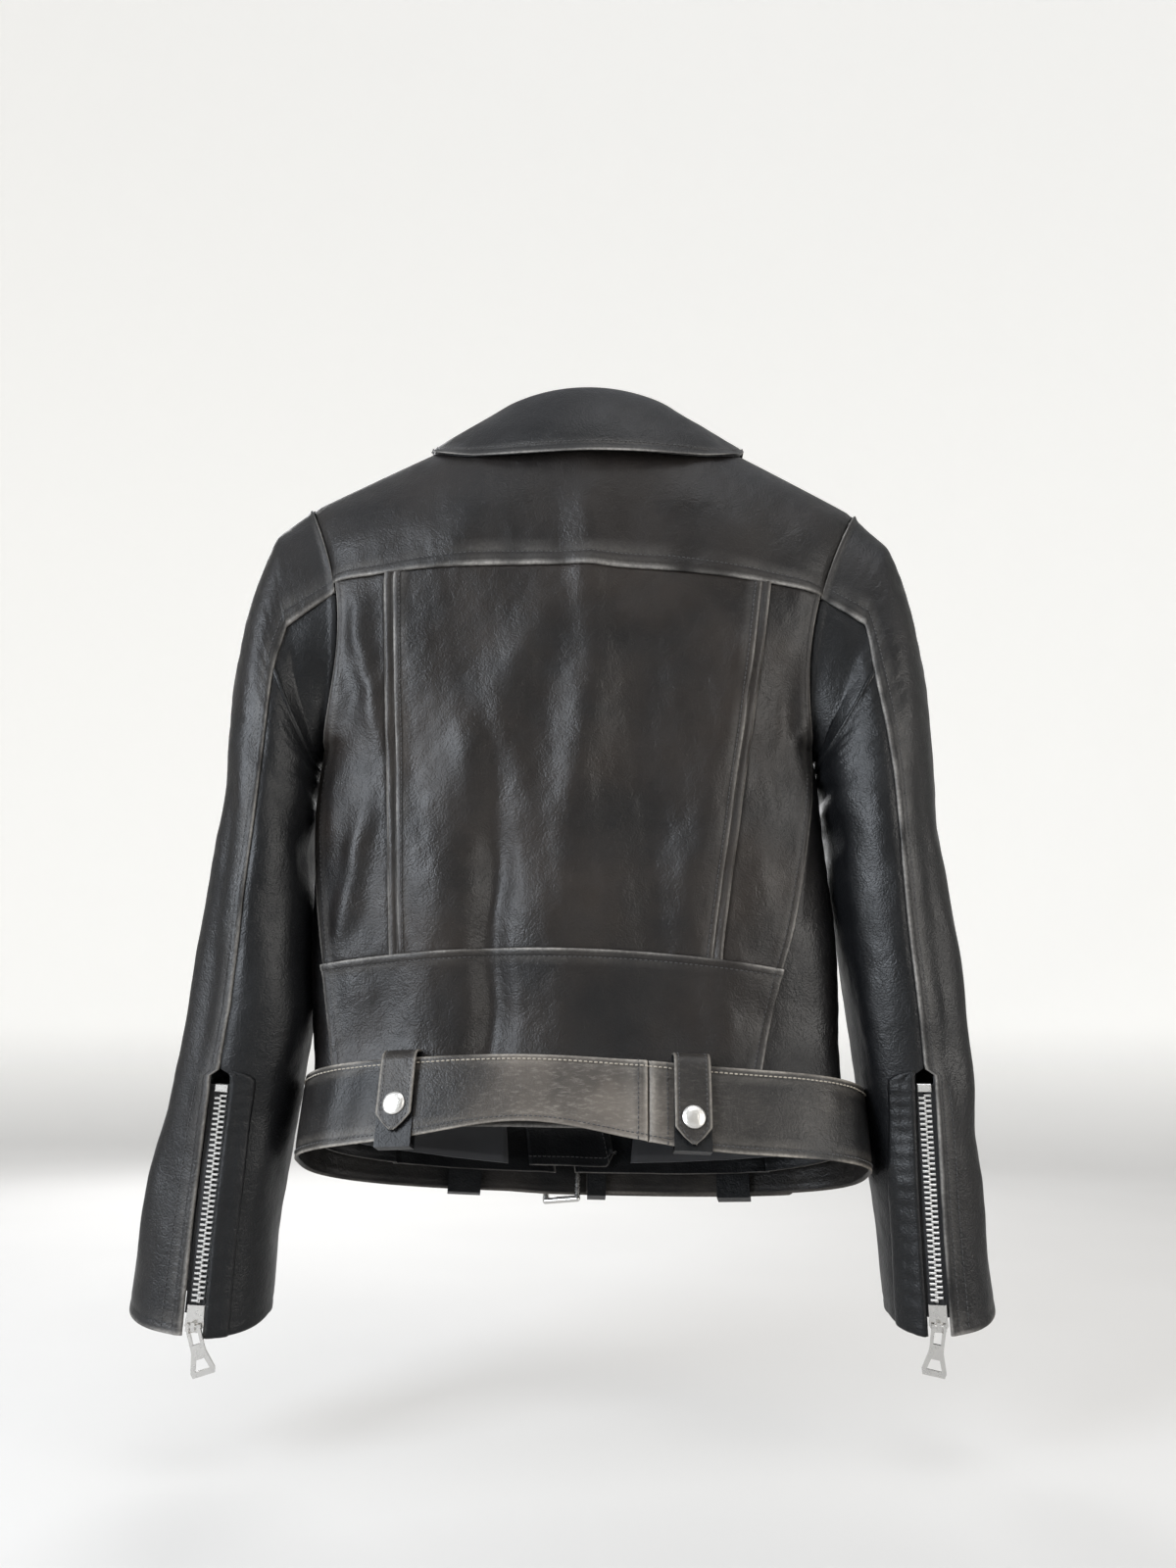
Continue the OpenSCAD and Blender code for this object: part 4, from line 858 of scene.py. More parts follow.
def build_back():
    tuck = 3.0
    end_l = float(yoke_seam_z(edge_x(1, -130)))
    end_r = float(yoke_seam_z(edge_x(-1, -130)))
    sl, sr = shoulder_pt(1), shoulder_pt(-1)
    neck = lambda x: np.where(np.abs(x) > NECK_HALF, ridge_z(x) - 0.002,
                              np.minimum(8.5 * (x / NECK_HALF) ** 2, ridge_z(x) - 0.002))
    flat = coons(row(yoke_seam_z, edge_x(1, end_l), edge_x(-1, end_r)), row(neck, sl[0], sr[0]),
                 line(lambda z: edge_x(1, z), end_l, sl[1]), line(lambda z: edge_x(-1, z), end_r, sr[1]))
    steep = lambda u, w: flat(u, np.sin(w * math.pi / 2))
    yoke = Panel("yoke", body_surface(1, steep, 0.5), 360, 105, ("over", "none", "under", "under"),
                 2.8, 11, BODY_TONE * 0.6)
    pl = lambda z: pleat_x(1, z)
    pr = lambda z: pleat_x(-1, z)
    ztl, ztr = float(yoke_seam_z(pl(-130))), float(yoke_seam_z(pr(-130)))
    zbl, zbr = float(waist_seam_z(pl(-387))), float(waist_seam_z(pr(-392)))
    strip = 6.6                                   # width of the pleat strip between its two ridges
    top = lambda x: yoke_seam_z(x) + tuck
    low = lambda x: waist_seam_z(x) - tuck
    centre_patch = coons(row(low, pl(zbl) - strip, pr(zbr) + strip),
                         row(top, pl(ztl) - strip, pr(ztr) + strip),
                         line(lambda z: pl(z) - strip, zbl - tuck, ztl + tuck),
                         line(lambda z: pr(z) + strip, zbr - tuck, ztr + tuck))
    centre = Panel("back_centre", body_surface(1, centre_patch), 245, 262, ("under", "under", "over", "over"),
                   2.8, 21, BODY_TONE)
    parts = [yoke, centre]
    paths = [yoke.edge_path("bottom", SEAM_STITCH, 900)]
    for side, name, px, zt, zb in ((1, "left", pl, ztl, zbl), (-1, "right", pr, ztr, zbr)):
        patch = coons(row(low, px(zb), px(zb) - side * strip * 1.3),
                      row(top, px(zt), px(zt) - side * strip * 1.3),
                      line(px, zb - tuck, zt + tuck),
                      line(lambda z, s=side, f=px: f(z) - s * strip * 1.3, zb - tuck, zt + tuck))
        parts.append(Panel(f"pleat_{name}", body_surface(1, patch, 0.35), strip * 1.3, 262,
                           ("none", "none", "over", "under"), 2.8, 31, BODY_TONE))
        za, zc = float(waist_seam_z(back_seam_x(side, -392))), end_l if side > 0 else end_r
        outer = lambda z, s=side: back_seam_x(s, z) - s * 0.2
        inner = lambda z, s=side, f=px: f(z) - s * 2.5
        side_patch = coons(row(low, inner(zb), outer(za)), row(top, inner(zt), outer(zc)),
                           line(inner, zb - tuck, zt + tuck), line(outer, za - tuck, zc + tuck))
        parts.append(Panel(f"back_side_{name}", body_surface(1, side_patch), 55, 262,
                           ("under", "under", "under", "over"), 2.6, 41, BODY_TONE))
        paths.append(parts[-1].edge_path("right", SEAM_STITCH, 700, 0.02, 0.52))
        paths.append(centre.edge_path("left" if side > 0 else "right", SEAM_STITCH - 1, 500))
    xl, xr = float(back_seam_x(1, -500)), float(back_seam_x(-1, -500))
    xtl, xtr = float(back_seam_x(1, -395)), float(back_seam_x(-1, -400))
    hem = lambda x: hem_at(1, x)
    zl0, zr0, zl1, zr1 = float(hem(xl)), float(hem(xr)), float(waist_seam_z(xtl)), float(waist_seam_z(xtr))
    waist_patch = coons(row(hem, xl, xr), row(waist_seam_z, xtl, xtr),
                        line(lambda z: back_seam_x(1, z), zl0, zl1),
                        line(lambda z: back_seam_x(-1, z), zr0, zr1))
    waist = Panel("waist_panel", body_surface(1, waist_patch, 0.3), 290, 112,
                  ("free", "over", "over", "over"), 2.8, 51, BODY_TONE * 0.8)
    parts.append(waist)
    paths.append(waist.edge_path("top", SEAM_STITCH, 900))
    paths += [waist.edge_path(s, SEAM_STITCH, 300) for s in ("left", "right")]
    return parts, paths


def shoulder_seam(side, name):
    """Felled seam standing along the top of the shoulder, from under the collar to the armhole."""
    tip = shoulder_pt(side)[0] - side * 1.2
    x = np.linspace(side * SHOULDER_SEAM_FROM, tip, 70)
    turn = np.arange(18) * 2 * math.pi / 18
    wide, tall = SHOULDER_SEAM_SIZE
    taper = 0.35 + 0.65 * smooth(0, 3, np.abs(tip - x))
    y = MID_Y + wide * np.outer(taper, np.cos(turn))
    z = (ridge_z(x) - 0.6)[:, None] + tall * np.outer(taper, np.sin(turn))
    points = np.stack([np.broadcast_to(x[:, None], y.shape), y, z], -1)
    m, n = y.shape
    faces = [(i * n + j, i * n + (j + 1) % n, (i + 1) * n + (j + 1) % n, (i + 1) * n + j)
             for i in range(m - 1) for j in range(n)]
    faces += [tuple(reversed(range(n))), tuple(range((m - 1) * n, m * n))]
    if side < 0:
        faces = [tuple(reversed(f)) for f in faces]
    obj = new_mesh(name, points, faces, LEATHER)
    # Painted highlight along both sides of the raised seam, stored with the pale edge mark.
    edge = np.broadcast_to(0.35 * bump(np.abs(np.cos(turn)), 0.9, 0.12), y.shape)
    set_attribute(obj, "wear_and_highlight", edge)
    set_attribute(obj, "tone", np.full(y.shape, BODY_TONE))
    return obj


def ring_pt(side, angle, z):
    p = 2 / POWER
    depth = np.where(np.sin(angle) >= 0, full_depth(1, z), full_depth(-1, z))
    return np.stack([body_sway(z) + side * edge_half(z) * spow(np.cos(angle), p),
                     MID_Y + depth * spow(np.sin(angle), p), z + 0 * angle], -1)


def ring_angle(side, x, z):
    return np.arccos(clamp01(clamp01(np.abs(x - body_sway(z)) / edge_half(z)) ** (POWER / 2)))


def side_surface(side):
    """Panel under the arm, from the back seam round to the front seam."""
    def seam_z(face, seam, w):
        z = mix(HEM_Z, ARMPIT_Z, w)
        for _ in range(5):
            z = mix(hem_at(face, seam(side, z)), ARMPIT_Z + 2, w)
        return z

    def surface(u, w, rise):
        zb, zf = seam_z(1, back_seam_x, w), seam_z(-1, front_seam_x, w)
        ab = ring_angle(side, back_seam_x(side, zb) - side * 2.0, zb)
        af = ring_angle(side, front_seam_x(side, zf) - side * 2.0, zf)
        angle = mix(ab, -af, u)
        share = (np.sin(angle) + np.sin(af)) / (np.sin(ab) + np.sin(af) + 1e-9)
        z = mix(zf, zb, share)
        p = ring_pt(side, angle, z)
        centre = np.stack([body_sway(z), MID_Y + 0 * z, z], -1)
        out = unit(p - centre)
        relief = 1.2 * ripple(u * 60, w * 110, 55, 61) + 0.35 * ripple(u * 60, w * 270, 20, 62)
        edge = smooth(0, 0.12, u) * (1 - smooth(0.88, 1, u))
        return p + out * (rise + relief * edge)[..., None]
    return surface


def build_sides():
    return [Panel(f"side_panel_{name}_leather", side_surface(side), 75 if side > 0 else 105, 285,
                  ("free", "none", "under", "under"), 2.8, 71, BODY_TONE * 0.5)
            for side, name in SIDES]


# ---------------------------------------------------------------- front panels
def zip_line_x(z):
    return ZIP_FOOT[0] + (BREAK[0] - ZIP_FOOT[0]) * (z - ZIP_FOOT[1]) / (BREAK[1] - ZIP_FOOT[1])


def front_lines(side):
    foot_z = float(hem_at(-1, zip_line_x(-540.0)))
    roll = ROLL_LEFT if side > 0 else ROLL_RIGHT
    low = np.array([zip_line_x(foot_z) + side * ZIP_HALF_GAP, foot_z])
    knee = np.array([BREAK[0] + side * ZIP_HALF_GAP, BREAK[1]])

    def inner(t):
        first = t < 0.62
        a, b = clamp01(t / 0.62), clamp01((t - 0.62) / 0.38)
        return (np.where(first, mix(low[0], knee[0], a), mix(knee[0], roll[0], b)),
                np.where(first, mix(low[1], knee[1], a), mix(knee[1], roll[1], b)))

    hem_end = float(hem_at(-1, front_seam_x(side, -515.0)))
    tip = shoulder_pt(side)

    def outer(t):
        z = mix(hem_end, tip[1], t)
        high = mix(front_seam_x(side, ARMPIT_Z - 4), edge_x(side, z), smooth(ARMPIT_Z - 4, ARMPIT_Z + 20, z))
        return np.where(z < ARMPIT_Z - 4, front_seam_x(side, z), high), z
    return inner, outer


def build_fronts():
    parts, paths = [], []
    for side, name in SIDES:
        inner, outer = front_lines(side)
        x0, x1 = float(outer(np.zeros(1))[0][0]), float(inner(np.zeros(1))[0][0])
        sx, _ = shoulder_pt(side)
        rx, rz = (float(v[0]) for v in inner(np.ones(1)))

        def shoulder_line(t, sx=sx, rx=rx, rz=rz):
            x = mix(sx, rx, t)
            return x, mix(ridge_z(x) - 0.002, rz, smooth(0.8, 1, t))
        flat = coons(row(lambda x: hem_at(-1, x), x0, x1), shoulder_line, outer, inner)
        steep = lambda u, w, f=flat: f(u, np.sin(w * math.pi / 2))
        wide = 120 if side > 0 else 190
        panel = Panel(f"front_{name}_leather", body_surface(-1, steep), wide, 480,
                      ("free", "none", "over", "over"), 3.0, 81 + side, BODY_TONE * 0.7)
        parts.append(panel)
        paths.append(panel.edge_path("left", SEAM_STITCH, 700, 0.0, 0.5))
        paths.append(panel.edge_path("right", SEAM_STITCH, 700, 0.0, 0.42))
    return parts, paths


def build_underlap():
    top_z = BREAK[1] + 20

    def surface(u, w, rise):
        low = -20.0
        high = zip_line_x(mix(-536, top_z, w)) + 26
        x = mix(low, high, u) + (1 - u) * 62 * w
        corner = 10 * smooth(0.12, 0, u) * smooth(0.03, 0, w)
        z = mix(hem_at(-1, x) + 2, top_z, w) + corner
        return body_at(-1, x, z, rise - 7)
    panel = Panel("underlap_leather", surface, 65, 315, ("free", "none", "free", "none"), 3.0, 91, 0.2)
    return [panel], [panel.edge_path(edge, SEAM_STITCH, 300, extra=-1.6) for edge in ("bottom", "left")]


# ---------------------------------------------------------------- lapels and collar
def lapel_surface(side):
    roll = ROLL_LEFT if side > 0 else ROLL_RIGHT
    tip = np.array([134.0, -104.0]) if side > 0 else np.array([-126.0, -104.0])
    start = np.array([BREAK[0] + side * (ZIP_HALF_GAP + 1), BREAK[1]])
    top = mix(roll, start, 0.16)

    def surface(u, w, rise):
        w = mix(0.04, 1.0, w)
        on_roll = mix(start, top, w[..., None]) + np.array([side * 1.0, 0])
        bow = 9 * np.sin(math.pi * w)
        on_edge = mix(start, tip, w[..., None]) + np.stack([side * bow, -0.6 * bow], -1)
        q = mix(on_roll, on_edge, u[..., None])
        lift = 2.2 + LAPEL_LIFT * smooth(0.0, 0.2, u) - 1.2
        return body_at(-1, q[..., 0], q[..., 1], rise + lift)
    return surface


def build_lapels():
    parts, paths = [], []
    for side, name in SIDES:
        panel = Panel(f"lapel_{name}_leather", lapel_surface(side), 70 if side > 0 else 90, 185,
                      ("none", "free", "none", "free"), 2.8, 101 + side, BODY_TONE * 0.5)
        parts.append(panel)
        paths.append(panel.edge_path("right", SEAM_STITCH, 500, 0.06, 0.97))
        paths.append(panel.edge_path("top", SEAM_STITCH, 300, 0.05, 0.95))
    return parts, paths


COLLAR_END = math.radians(138)


def collar_root(a):
    c, s = np.cos(a), np.sin(a)
    return np.stack([NECK_HALF * 0.99 * spow(s, 0.9), MID_Y + 45 * c * np.where(c > 0, 1, 0.8),
                     2 + 8 * s ** 2 - 26 * smooth(math.pi / 2, COLLAR_END, np.abs(a))], -1)


def collar_fold(a):
    c, s = np.cos(a), np.sin(a)
    return np.stack([66 * s, MID_Y + 41 * c * np.where(c > 0, 1, 1.05),
                     25 - 5 * s ** 2 - 32 * smooth(math.pi / 2, COLLAR_END, np.abs(a))], -1)


def collar_edge(a):
    s = np.abs(a)
    m = np.minimum(s, math.pi / 2)
    past = smooth(math.pi / 2, COLLAR_END, s)
    x = 117 * np.sin(m) - 20 * past
    y = np.where(s <= math.pi / 2, 63 * np.cos(s), -52 * smooth(math.pi / 2, math.radians(128), s))
    z = -38 + 33 * (1 - np.cos(m)) ** 1.4 - 78 * past
    return np.stack([np.sign(a) * x, MID_Y + y, z], -1)


def off_body(p):
    """Moves points of the collar out until they clear the body, and the lapels in front."""
    face = np.where(p[..., 1] >= MID_Y, 1, -1)
    x, z = p[..., 0], p[..., 2]
    back, front = body_depth(1, x, z) + 4.4, body_depth(-1, x, z) + 6.6
    need = np.where(face > 0, back, front)
    y = MID_Y + face * np.maximum(np.abs(p[..., 1] - MID_Y), need)
    return np.stack([x, np.where(z > ridge_z(x) - 0.5, p[..., 1], y), z], -1)


def collar_surface(u, w, rise):
    """The fall, from its fold (w 0) to its free edge (w 1); u runs from the right end to the left end."""
    a = mix(-COLLAR_END, COLLAR_END, u)
    f, e = collar_fold(a), collar_edge(a)
    out = (e - f) * np.array([1, 1, 0])
    c = np.cos(a)
    swell = (2 + 2 * c ** 2) * np.sin(math.pi * w)
    p = mix(f, e, w[..., None]) + unit(out) * swell[..., None] + np.array([0, 0, 0.8]) * swell[..., None]
    roll = 2.2 * (1 - smooth(0, 0.1, w))
    p = p - np.array([0, 0, 1.0]) * (roll ** 2 * 0.35)[..., None]
    p = off_body(p)
    relief = 0.7 * ripple(u * 330, w * 70, 70, 112) + 0.2 * ripple(u * 330, w * 70, 24, 113)
    return p + unit(out) * (rise * 0.9 + relief * smooth(0, 0.2, w))[..., None]


def build_collar():
    fall = Panel("collar_fall_leather", collar_surface, 430, 72, ("none", "free", "free", "free"),
                 2.8, 111, 0.12)

    def stand_surface(u, w, rise):
        a = mix(-COLLAR_END, COLLAR_END, u)
        p = mix(collar_root(a), collar_fold(a) - np.array([0, 0, 0.8]), w[..., None])
        inward = unit((np.array([0, MID_Y, 0]) - p) * np.array([1, 1, 0]))
        return p + inward * (0.4 + 0.6 * np.sin(math.pi * w))[..., None]
    stand = Panel("collar_stand_leather", stand_surface, 300, 28, ("none",) * 4, 3.0, 115, 0.1)
    paths = [fall.edge_path("top", SEAM_STITCH + 2.2, 1200, 0.02, 0.98)]
    paths += [fall.edge_path(s, SEAM_STITCH + 1, 200, 0.15, 0.9) for s in ("left", "right")]
    return fall, stand, paths


# ---------------------------------------------------------------- sleeves
OUTER = [(201, -56), (222, -80), (237, -130), (245, -195), (249, -270), (255, -350), (262, -450),
         (269, -525), (277, -606)]
INNER = [(172, -240), (174, -246), (176, -254), (178, -268), (179, -295), (180, -360), (188, -450),
         (196, -528), (202, -614)]
DEPTH = [40, 44, 50, 54, 55, 52, 47, 42, 38]
SECTION = 0.86
ZIP_TOP_V = 6.28
CUFF_V = 7.97
GUSSET_V = 1.9
FRONT_SEAM = math.radians(-112)
# creases down a sleeve: depth, angle round it, width, and where each sets in and fades out
SLEEVE_CREASES = [
    (2.4, 38, 0.22, 4.2, 5.5, 7.2, 7.9),
    (-2.2, 66, 0.2, 3.0, 4.5, 6.0, 7.0),
    (2.0, 140, 0.25, 1.5, 3, 6.5, 7.6),
]


def station(values, v):
    return through(list(enumerate(values)), v)


def outer_drift(side, v):
    if side > 0:
        return 2 * smooth(0, 1, v) + (DRIFT - 3) * smooth(5, 7.5, v)
    return -7 * smooth(0, 1, v) - 5 * smooth(3, 5, v) - (DRIFT - 10) * smooth(6, 7.5, v)


def outer_pt(side, v):
    drop = 0 if side > 0 else RIGHT_DROP * (1 - smooth(0, 4, v))
    x = side * (station([p[0] for p in OUTER], v) + outer_drift(side, v))
    return np.stack([x, station([p[1] for p in OUTER], v) - drop], -1)


def inner_pt(side, v):
    z = station([p[1] for p in INNER], v)
    free = station([p[0] for p in INNER], v) + side * 6
    by_body = side * edge_x(side, np.minimum(z, ARMPIT_Z)) + 5
    return np.stack([side * mix(by_body, np.maximum(free, by_body), smooth(4, 6, v)), z], -1)


def station_pt(side, a, v):
    o, i = outer_pt(side, v), inner_pt(side, v)
    half = (o - i) / 2
    c = (o + i) / 2
    length = np.linalg.norm(half, axis=-1)
    p = length * spow(np.cos(a), SECTION)
    q = station(DEPTH, v) * spow(np.sin(a), SECTION)
    d = unit(half)
    dip = 9 * np.maximum(0, np.sin(a)) * smooth(6.6, 8, v)
    return np.stack([c[..., 0] + d[..., 0] * p, MID_Y + q, c[..., 1] + d[..., 1] * p - dip], -1)


def armhole_pt(side, a):
    top = float(ridge_z(np.array(side * SHOULDER_HALF)))
    z = mix((top + ARMPIT_Z) / 2, top, np.cos(a))
    x = edge_x(side, z)
    q = clamp01((ridge_z(x) - z) / RIDGE_DEPTH)
    r = np.sqrt(1 - (1 - q) ** 2) * edge_depth(z)
    return np.stack([x, MID_Y + np.sign(np.sin(a)) * r, z], -1)


def sleeve_base(side, a, v):
    near = mix(armhole_pt(side, a), station_pt(side, a, np.ones_like(v)), clamp01(v)[..., None])
    return np.where((v < 1)[..., None], near, station_pt(side, a, np.maximum(v, 1)))


def back_seam_angle(side, v):
    knots = [(0, 82), (1, 89.5 if side > 0 else 87), (2, 92.5), (3, 97 if side > 0 else 93),
             (4, 97 if side > 0 else 91), (5, 92), (6, 89 if side > 0 else 93), (6.3, 92 if side > 0 else 96),
             (8, 98 if side > 0 else 108)]
    return np.radians(through(knots, v))


def beside_seam(side, v, off):
    """Angle a distance off outwards (or inwards, if negative) of the back seam."""
    w = np.maximum(v, 1)
    half = np.linalg.norm(outer_pt(side, w) - inner_pt(side, w), axis=-1) / 2
    p = spow(np.cos(back_seam_angle(side, v)), SECTION) + off / half
    return np.arccos(np.clip(spow(p, 1 / SECTION), -1, 1))


def zip_gap(v):
    return 6.6 * smooth(ZIP_TOP_V - 0.2, ZIP_TOP_V - 0.13, v)


def sleeve_relief(side, a, v):
    """Wrinkles of a hanging sleeve: long creases down it, short ones across at the elbow."""
    turns = a * 45
    down = v * 70
    long_folds = sum(depth * bump(a, math.radians(angle), wide) * smooth(v0, v1, v) * (1 - smooth(v2, v3, v))
                     for depth, angle, wide, v0, v1, v2, v3 in SLEEVE_CREASES)
    inner = 0.9 * np.sin(v * 6.0 + 2.2 * np.cos(a)) * bump(np.abs(a), math.pi, 0.8) * smooth(1.2, 3, v)
    at_elbow = smooth(2, 3.4, v) * (1 - smooth(6.6, 7.6, v))
    elbow = 0.45 * ripple(turns * 0.8, down, 40, 120 + int(side)) * at_elbow
    broad = 1.1 * ripple(turns, down * 0.3, 80, 130 + int(side)) * smooth(0.4, 1.6, v)
    small = 0.14 * ripple(turns, down, 17, 140 + int(side)) * smooth(0.1, 0.8, v)
    soft = long_folds + inner + elbow + broad + small + settled_sleeve(side, a, v)
    return soft * (1 - 0.75 * smooth(7.3, 7.97, v)) * smooth(0, 0.35, v)


def sleeve_at(side, a, v, lift=0.0):
    p = sleeve_base(side, a, v)
    da = 0.04
    dv = 0.05
    ta = sleeve_base(side, a + da, v) - sleeve_base(side, a - da, v)
    tv = sleeve_base(side, a, v + dv) - sleeve_base(side, a, np.maximum(v - dv, 0))
    n = unit(np.cross(ta, tv))
    centre = (sleeve_base(side, a + math.pi / 2, v) + sleeve_base(side, a - math.pi / 2, v)) / 2
    n = n * np.sign(np.sum(n * (p - centre), -1, keepdims=True))
    return p + n * (lift + sleeve_relief(side, a, v))[..., None]


def sleeve_surface(side, start, end, v0, v1, lift=0.0, even=True):
    """Surface of a sleeve panel; start and end are its edge angles as functions of v."""
    def surface(u, w, rise):
        v = mix(v0, v1, w)
        a = mix(start(v), end(v), u)
        return sleeve_at(side, a, v, rise + lift)
    return surface


def build_sleeve(side, name):
    front = lambda v: FRONT_SEAM + 0 * v
    front_round = lambda v: FRONT_SEAM + 2 * math.pi + 0 * v
    seam_top = lambda v: beside_seam(side, v, zip_gap(v))
    seam_under = lambda v: beside_seam(side, v, -zip_gap(v))
    tone = 0.22
    top = Panel(f"top_sleeve_{name}_leather", sleeve_surface(side, front, seam_top, 0.0, CUFF_V, 0.4),
                165, 560, ("over", "free", "none", "over"), 3.0, 151 + side, tone)
    under = Panel(f"under_sleeve_{name}_leather",
                  sleeve_surface(side, seam_under, front_round, GUSSET_V, CUFF_V),
                  125, 425, ("over", "free", "under", "none"), 3.0, 161 + side, tone)
    gusset = Panel(f"gusset_{name}_leather",
                   sleeve_surface(side, seam_under, front_round, 0.0, GUSSET_V + 0.05),
                   110, 60, ("over", "under", "under", "none"), 3.0, 171 + side, tone)
    paths = [top.edge_path("right", SEAM_STITCH, 1400, 0.01, 0.995),
             top.edge_path("right", SEAM_STITCH + 7, 900, 0.78, 0.995),
             under.edge_path("left", SEAM_STITCH + 2, 900, 0.60, 0.995),
             under.edge_path("bottom", SEAM_STITCH, 300, 0, 0.6)]
    welt_top = ZIP_TOP_V - 0.16

    def welt_surface(u, w, rise):
        v = mix(welt_top, CUFF_V, w)
        squeeze = np.sqrt(clamp01(w * 480 / 14))
        off = -(6.6 + 12 * u * np.where(squeeze < 1, squeeze, 1))
        return sleeve_at(side, beside_seam(side, v, off), v, rise + 0.55)
    welt = Panel(f"zip_welt_{name}", welt_surface, 12, 128, ("none", "free", "over", "over"),
                 1.4, 181 + side, tone)
    parts = [top, under, gusset, welt]
    return parts, paths


def build_sleeve_lining(side, name):
    def surface(u, w, rise):
        v = mix(0.55, CUFF_V - 0.1, w)
        a = back_seam_angle(side, v) + mix(0.16, 2 * math.pi - 0.16, u)
        return sleeve_at(side, a, v, -5.0 + 1.2 * np.sin(v * 5 + a * 2) * smooth(1, 2, v))
    return Panel(f"sleeve_lining_{name}_satin", surface, 260, 520, ("none",) * 4, 6.0, 191, 0)


def build_body_lining():
    parts = []
    hem = lambda x: hem_at(1, x) + 6
    x0, x1 = float(edge_x(1, -500.0)) - 16, float(edge_x(-1, -500.0)) + 16
    tops = lambda x: np.minimum(8.5 * (x / NECK_HALF) ** 2 - 6, ridge_z(x) - 22)
    xt0, xt1 = float(edge_x(1, -70.0)) - 12, float(edge_x(-1, -70.0)) + 12
    patch = coons(row(hem, x0, x1), row(tops, xt0, xt1),
                  line(lambda z: edge_x(1, z) - 12, float(hem(x0)), -70.0),
                  line(lambda z: edge_x(-1, z) + 12, float(hem(x1)), -70.0))
    parts.append(Panel("body_lining_back", body_surface(1, patch, -4.6), 340, 440, ("none",) * 4, 5.0, 201))
    for side, name in SIDES:
        xi = 56.0 if side > 0 else -30.0
        xj = 96.0 if side > 0 else -90.0
        xo = float(edge_x(side, -520.0)) - side * 18
        xs = float(edge_x(side, -80.0)) - side * 14
        zs = float(ridge_z(np.array(188.0))) - 26
        zj = float(ridge_z(np.array(xj))) - 26
        patch = coons(row(lambda x: hem_at(-1, x) + 8, xo, xi), row(lambda x: ridge_z(x) - 26, xs, xj),
                      line(lambda z, s=side: edge_x(s, z) - s * 16, float(hem_at(-1, np.array(xo))) + 8, zs),
                      straight((xi, -528), (xj, zj)))
        parts.append(Panel(f"body_lining_front_{name}", body_surface(-1, patch, -11), 120, 460,
                           ("none",) * 4, 5.0, 205))
    return parts


# ---------------------------------------------------------------- belt
TIP_RISE = 6.5
HINGE_X = 4.0
TIP_X = -152.0
JOIN_X = -36.0


def belt_axes():
    """Columns: the belt frame's X, Y and Z in the row frame."""
    ry = Matrix.Rotation(-BELT_ROLL, 3, "Y")
    rx = Matrix.Rotation(BELT_TILT, 3, "X")
    return np.array(ry @ rx)


BELT_AXES = belt_axes()


def from_belt(p):
    return BELT_CENTRE + p @ BELT_AXES.T


def belt_pt(a, out=0.0):
    p = 2 / BELT_POWER
    return (BELT_A + out) * spow(np.sin(a), p), (BELT_B + out) * spow(np.cos(a), p)


def belt_angle(face, x):
    a = math.asin(min(1, abs(x) / BELT_A) ** (BELT_POWER / 2)) * (1 if x > 0 else -1)
    return a if face > 0 else math.pi - a


def tip_lift(a):
    return TIP_RISE * smooth(belt_angle(-1, 58), belt_angle(-1, 16), a)


def belt_wave(x, back, t):
    """The belt rides up at the small of the back, its lower edge more than its upper. t is -1 low, 1 high."""
    arch = bump(x, 36, 66) * back
    sag = bump(x, -100, 60) * back
    return arch * mix(14.0, 2.5, (t + 1) / 2) - sag * 2.0 - back * 1.2


def strap_surface(a0, a1, lift):
    def surface(u, w, rise):
        a = mix(a0, a1, u)
        t = mix(-1, 1, w)
        x, y = belt_pt(a, 0)
        back = smooth(0, 30, y)
        pillow = 0.5 * (1 - t ** 4) - 0.3
        x, y = belt_pt(a, lift(a) + rise + pillow + 0.35 * ripple(a * 140, t * 9, 26, 211) * (1 - t ** 8))
        half = BELT_W / 2
        return from_belt(np.stack([x, y, t * half + belt_wave(x, back, t)], -1))
    return surface


def build_belt():
    a0, a1 = belt_angle(1, JOIN_X), belt_angle(-1, HINGE_X - 6) - 2 * math.pi
    buckle_side = Panel("belt_strap_buckle_side", strap_surface(a0 - 0.012, a1, lambda a: 0 * a), 240, BELT_W,
                        ("free", "free", "over", "none"), 2.2, 221, 0.75)
    b1 = belt_angle(-1, TIP_X)

    def tip_surface(u, w, rise):
        taper = smooth(1 - 0.032, 1, u)
        t = mix(-1, 1, w)
        w2 = (t * (1 - 0.86 * taper ** 1.3) + 1) / 2
        return strap_surface(a0 - 0.01, b1, tip_lift)(u, w2, rise)
    tip_side = Panel("belt_strap_tip_side", tip_surface, 660, BELT_W, ("free", "free", "over", "free"),
                     2.2, 231, 0.75)

    def rows(edge):
        return [buckle_side.edge_path(edge, BELT_STITCH, 1200, extra=0.1),
                tip_side.edge_path(edge, BELT_STITCH, 3000, 0.0, 0.965, extra=0.1)]
    pale = rows("top")
    ends = [strap.edge_path("left", BELT_STITCH, 200, extra=0.1) for strap in (buckle_side, tip_side)]
    dark = rows("bottom") + ends
    return buckle_side, tip_side, pale, dark


def tone_belt(obj):
    """Browner, paler leather at the back of the belt: rubbed leather, and painted sheen where the belt arches
    at the small of the back.
    """
    co = np.array([v.co for v in obj.data.vertices]) / MM
    lighter = bump(co[:, 0], 5, 62) * smooth(-20, 10, co[:, 1])
    values = 0.12 + 0.95 * lighter + 0.12 * ripple(co[:, 0], co[:, 2], 40, 241)
    obj.data.attributes["tone"].data.foreach_set("value", clamp01(values).astype(np.float32))


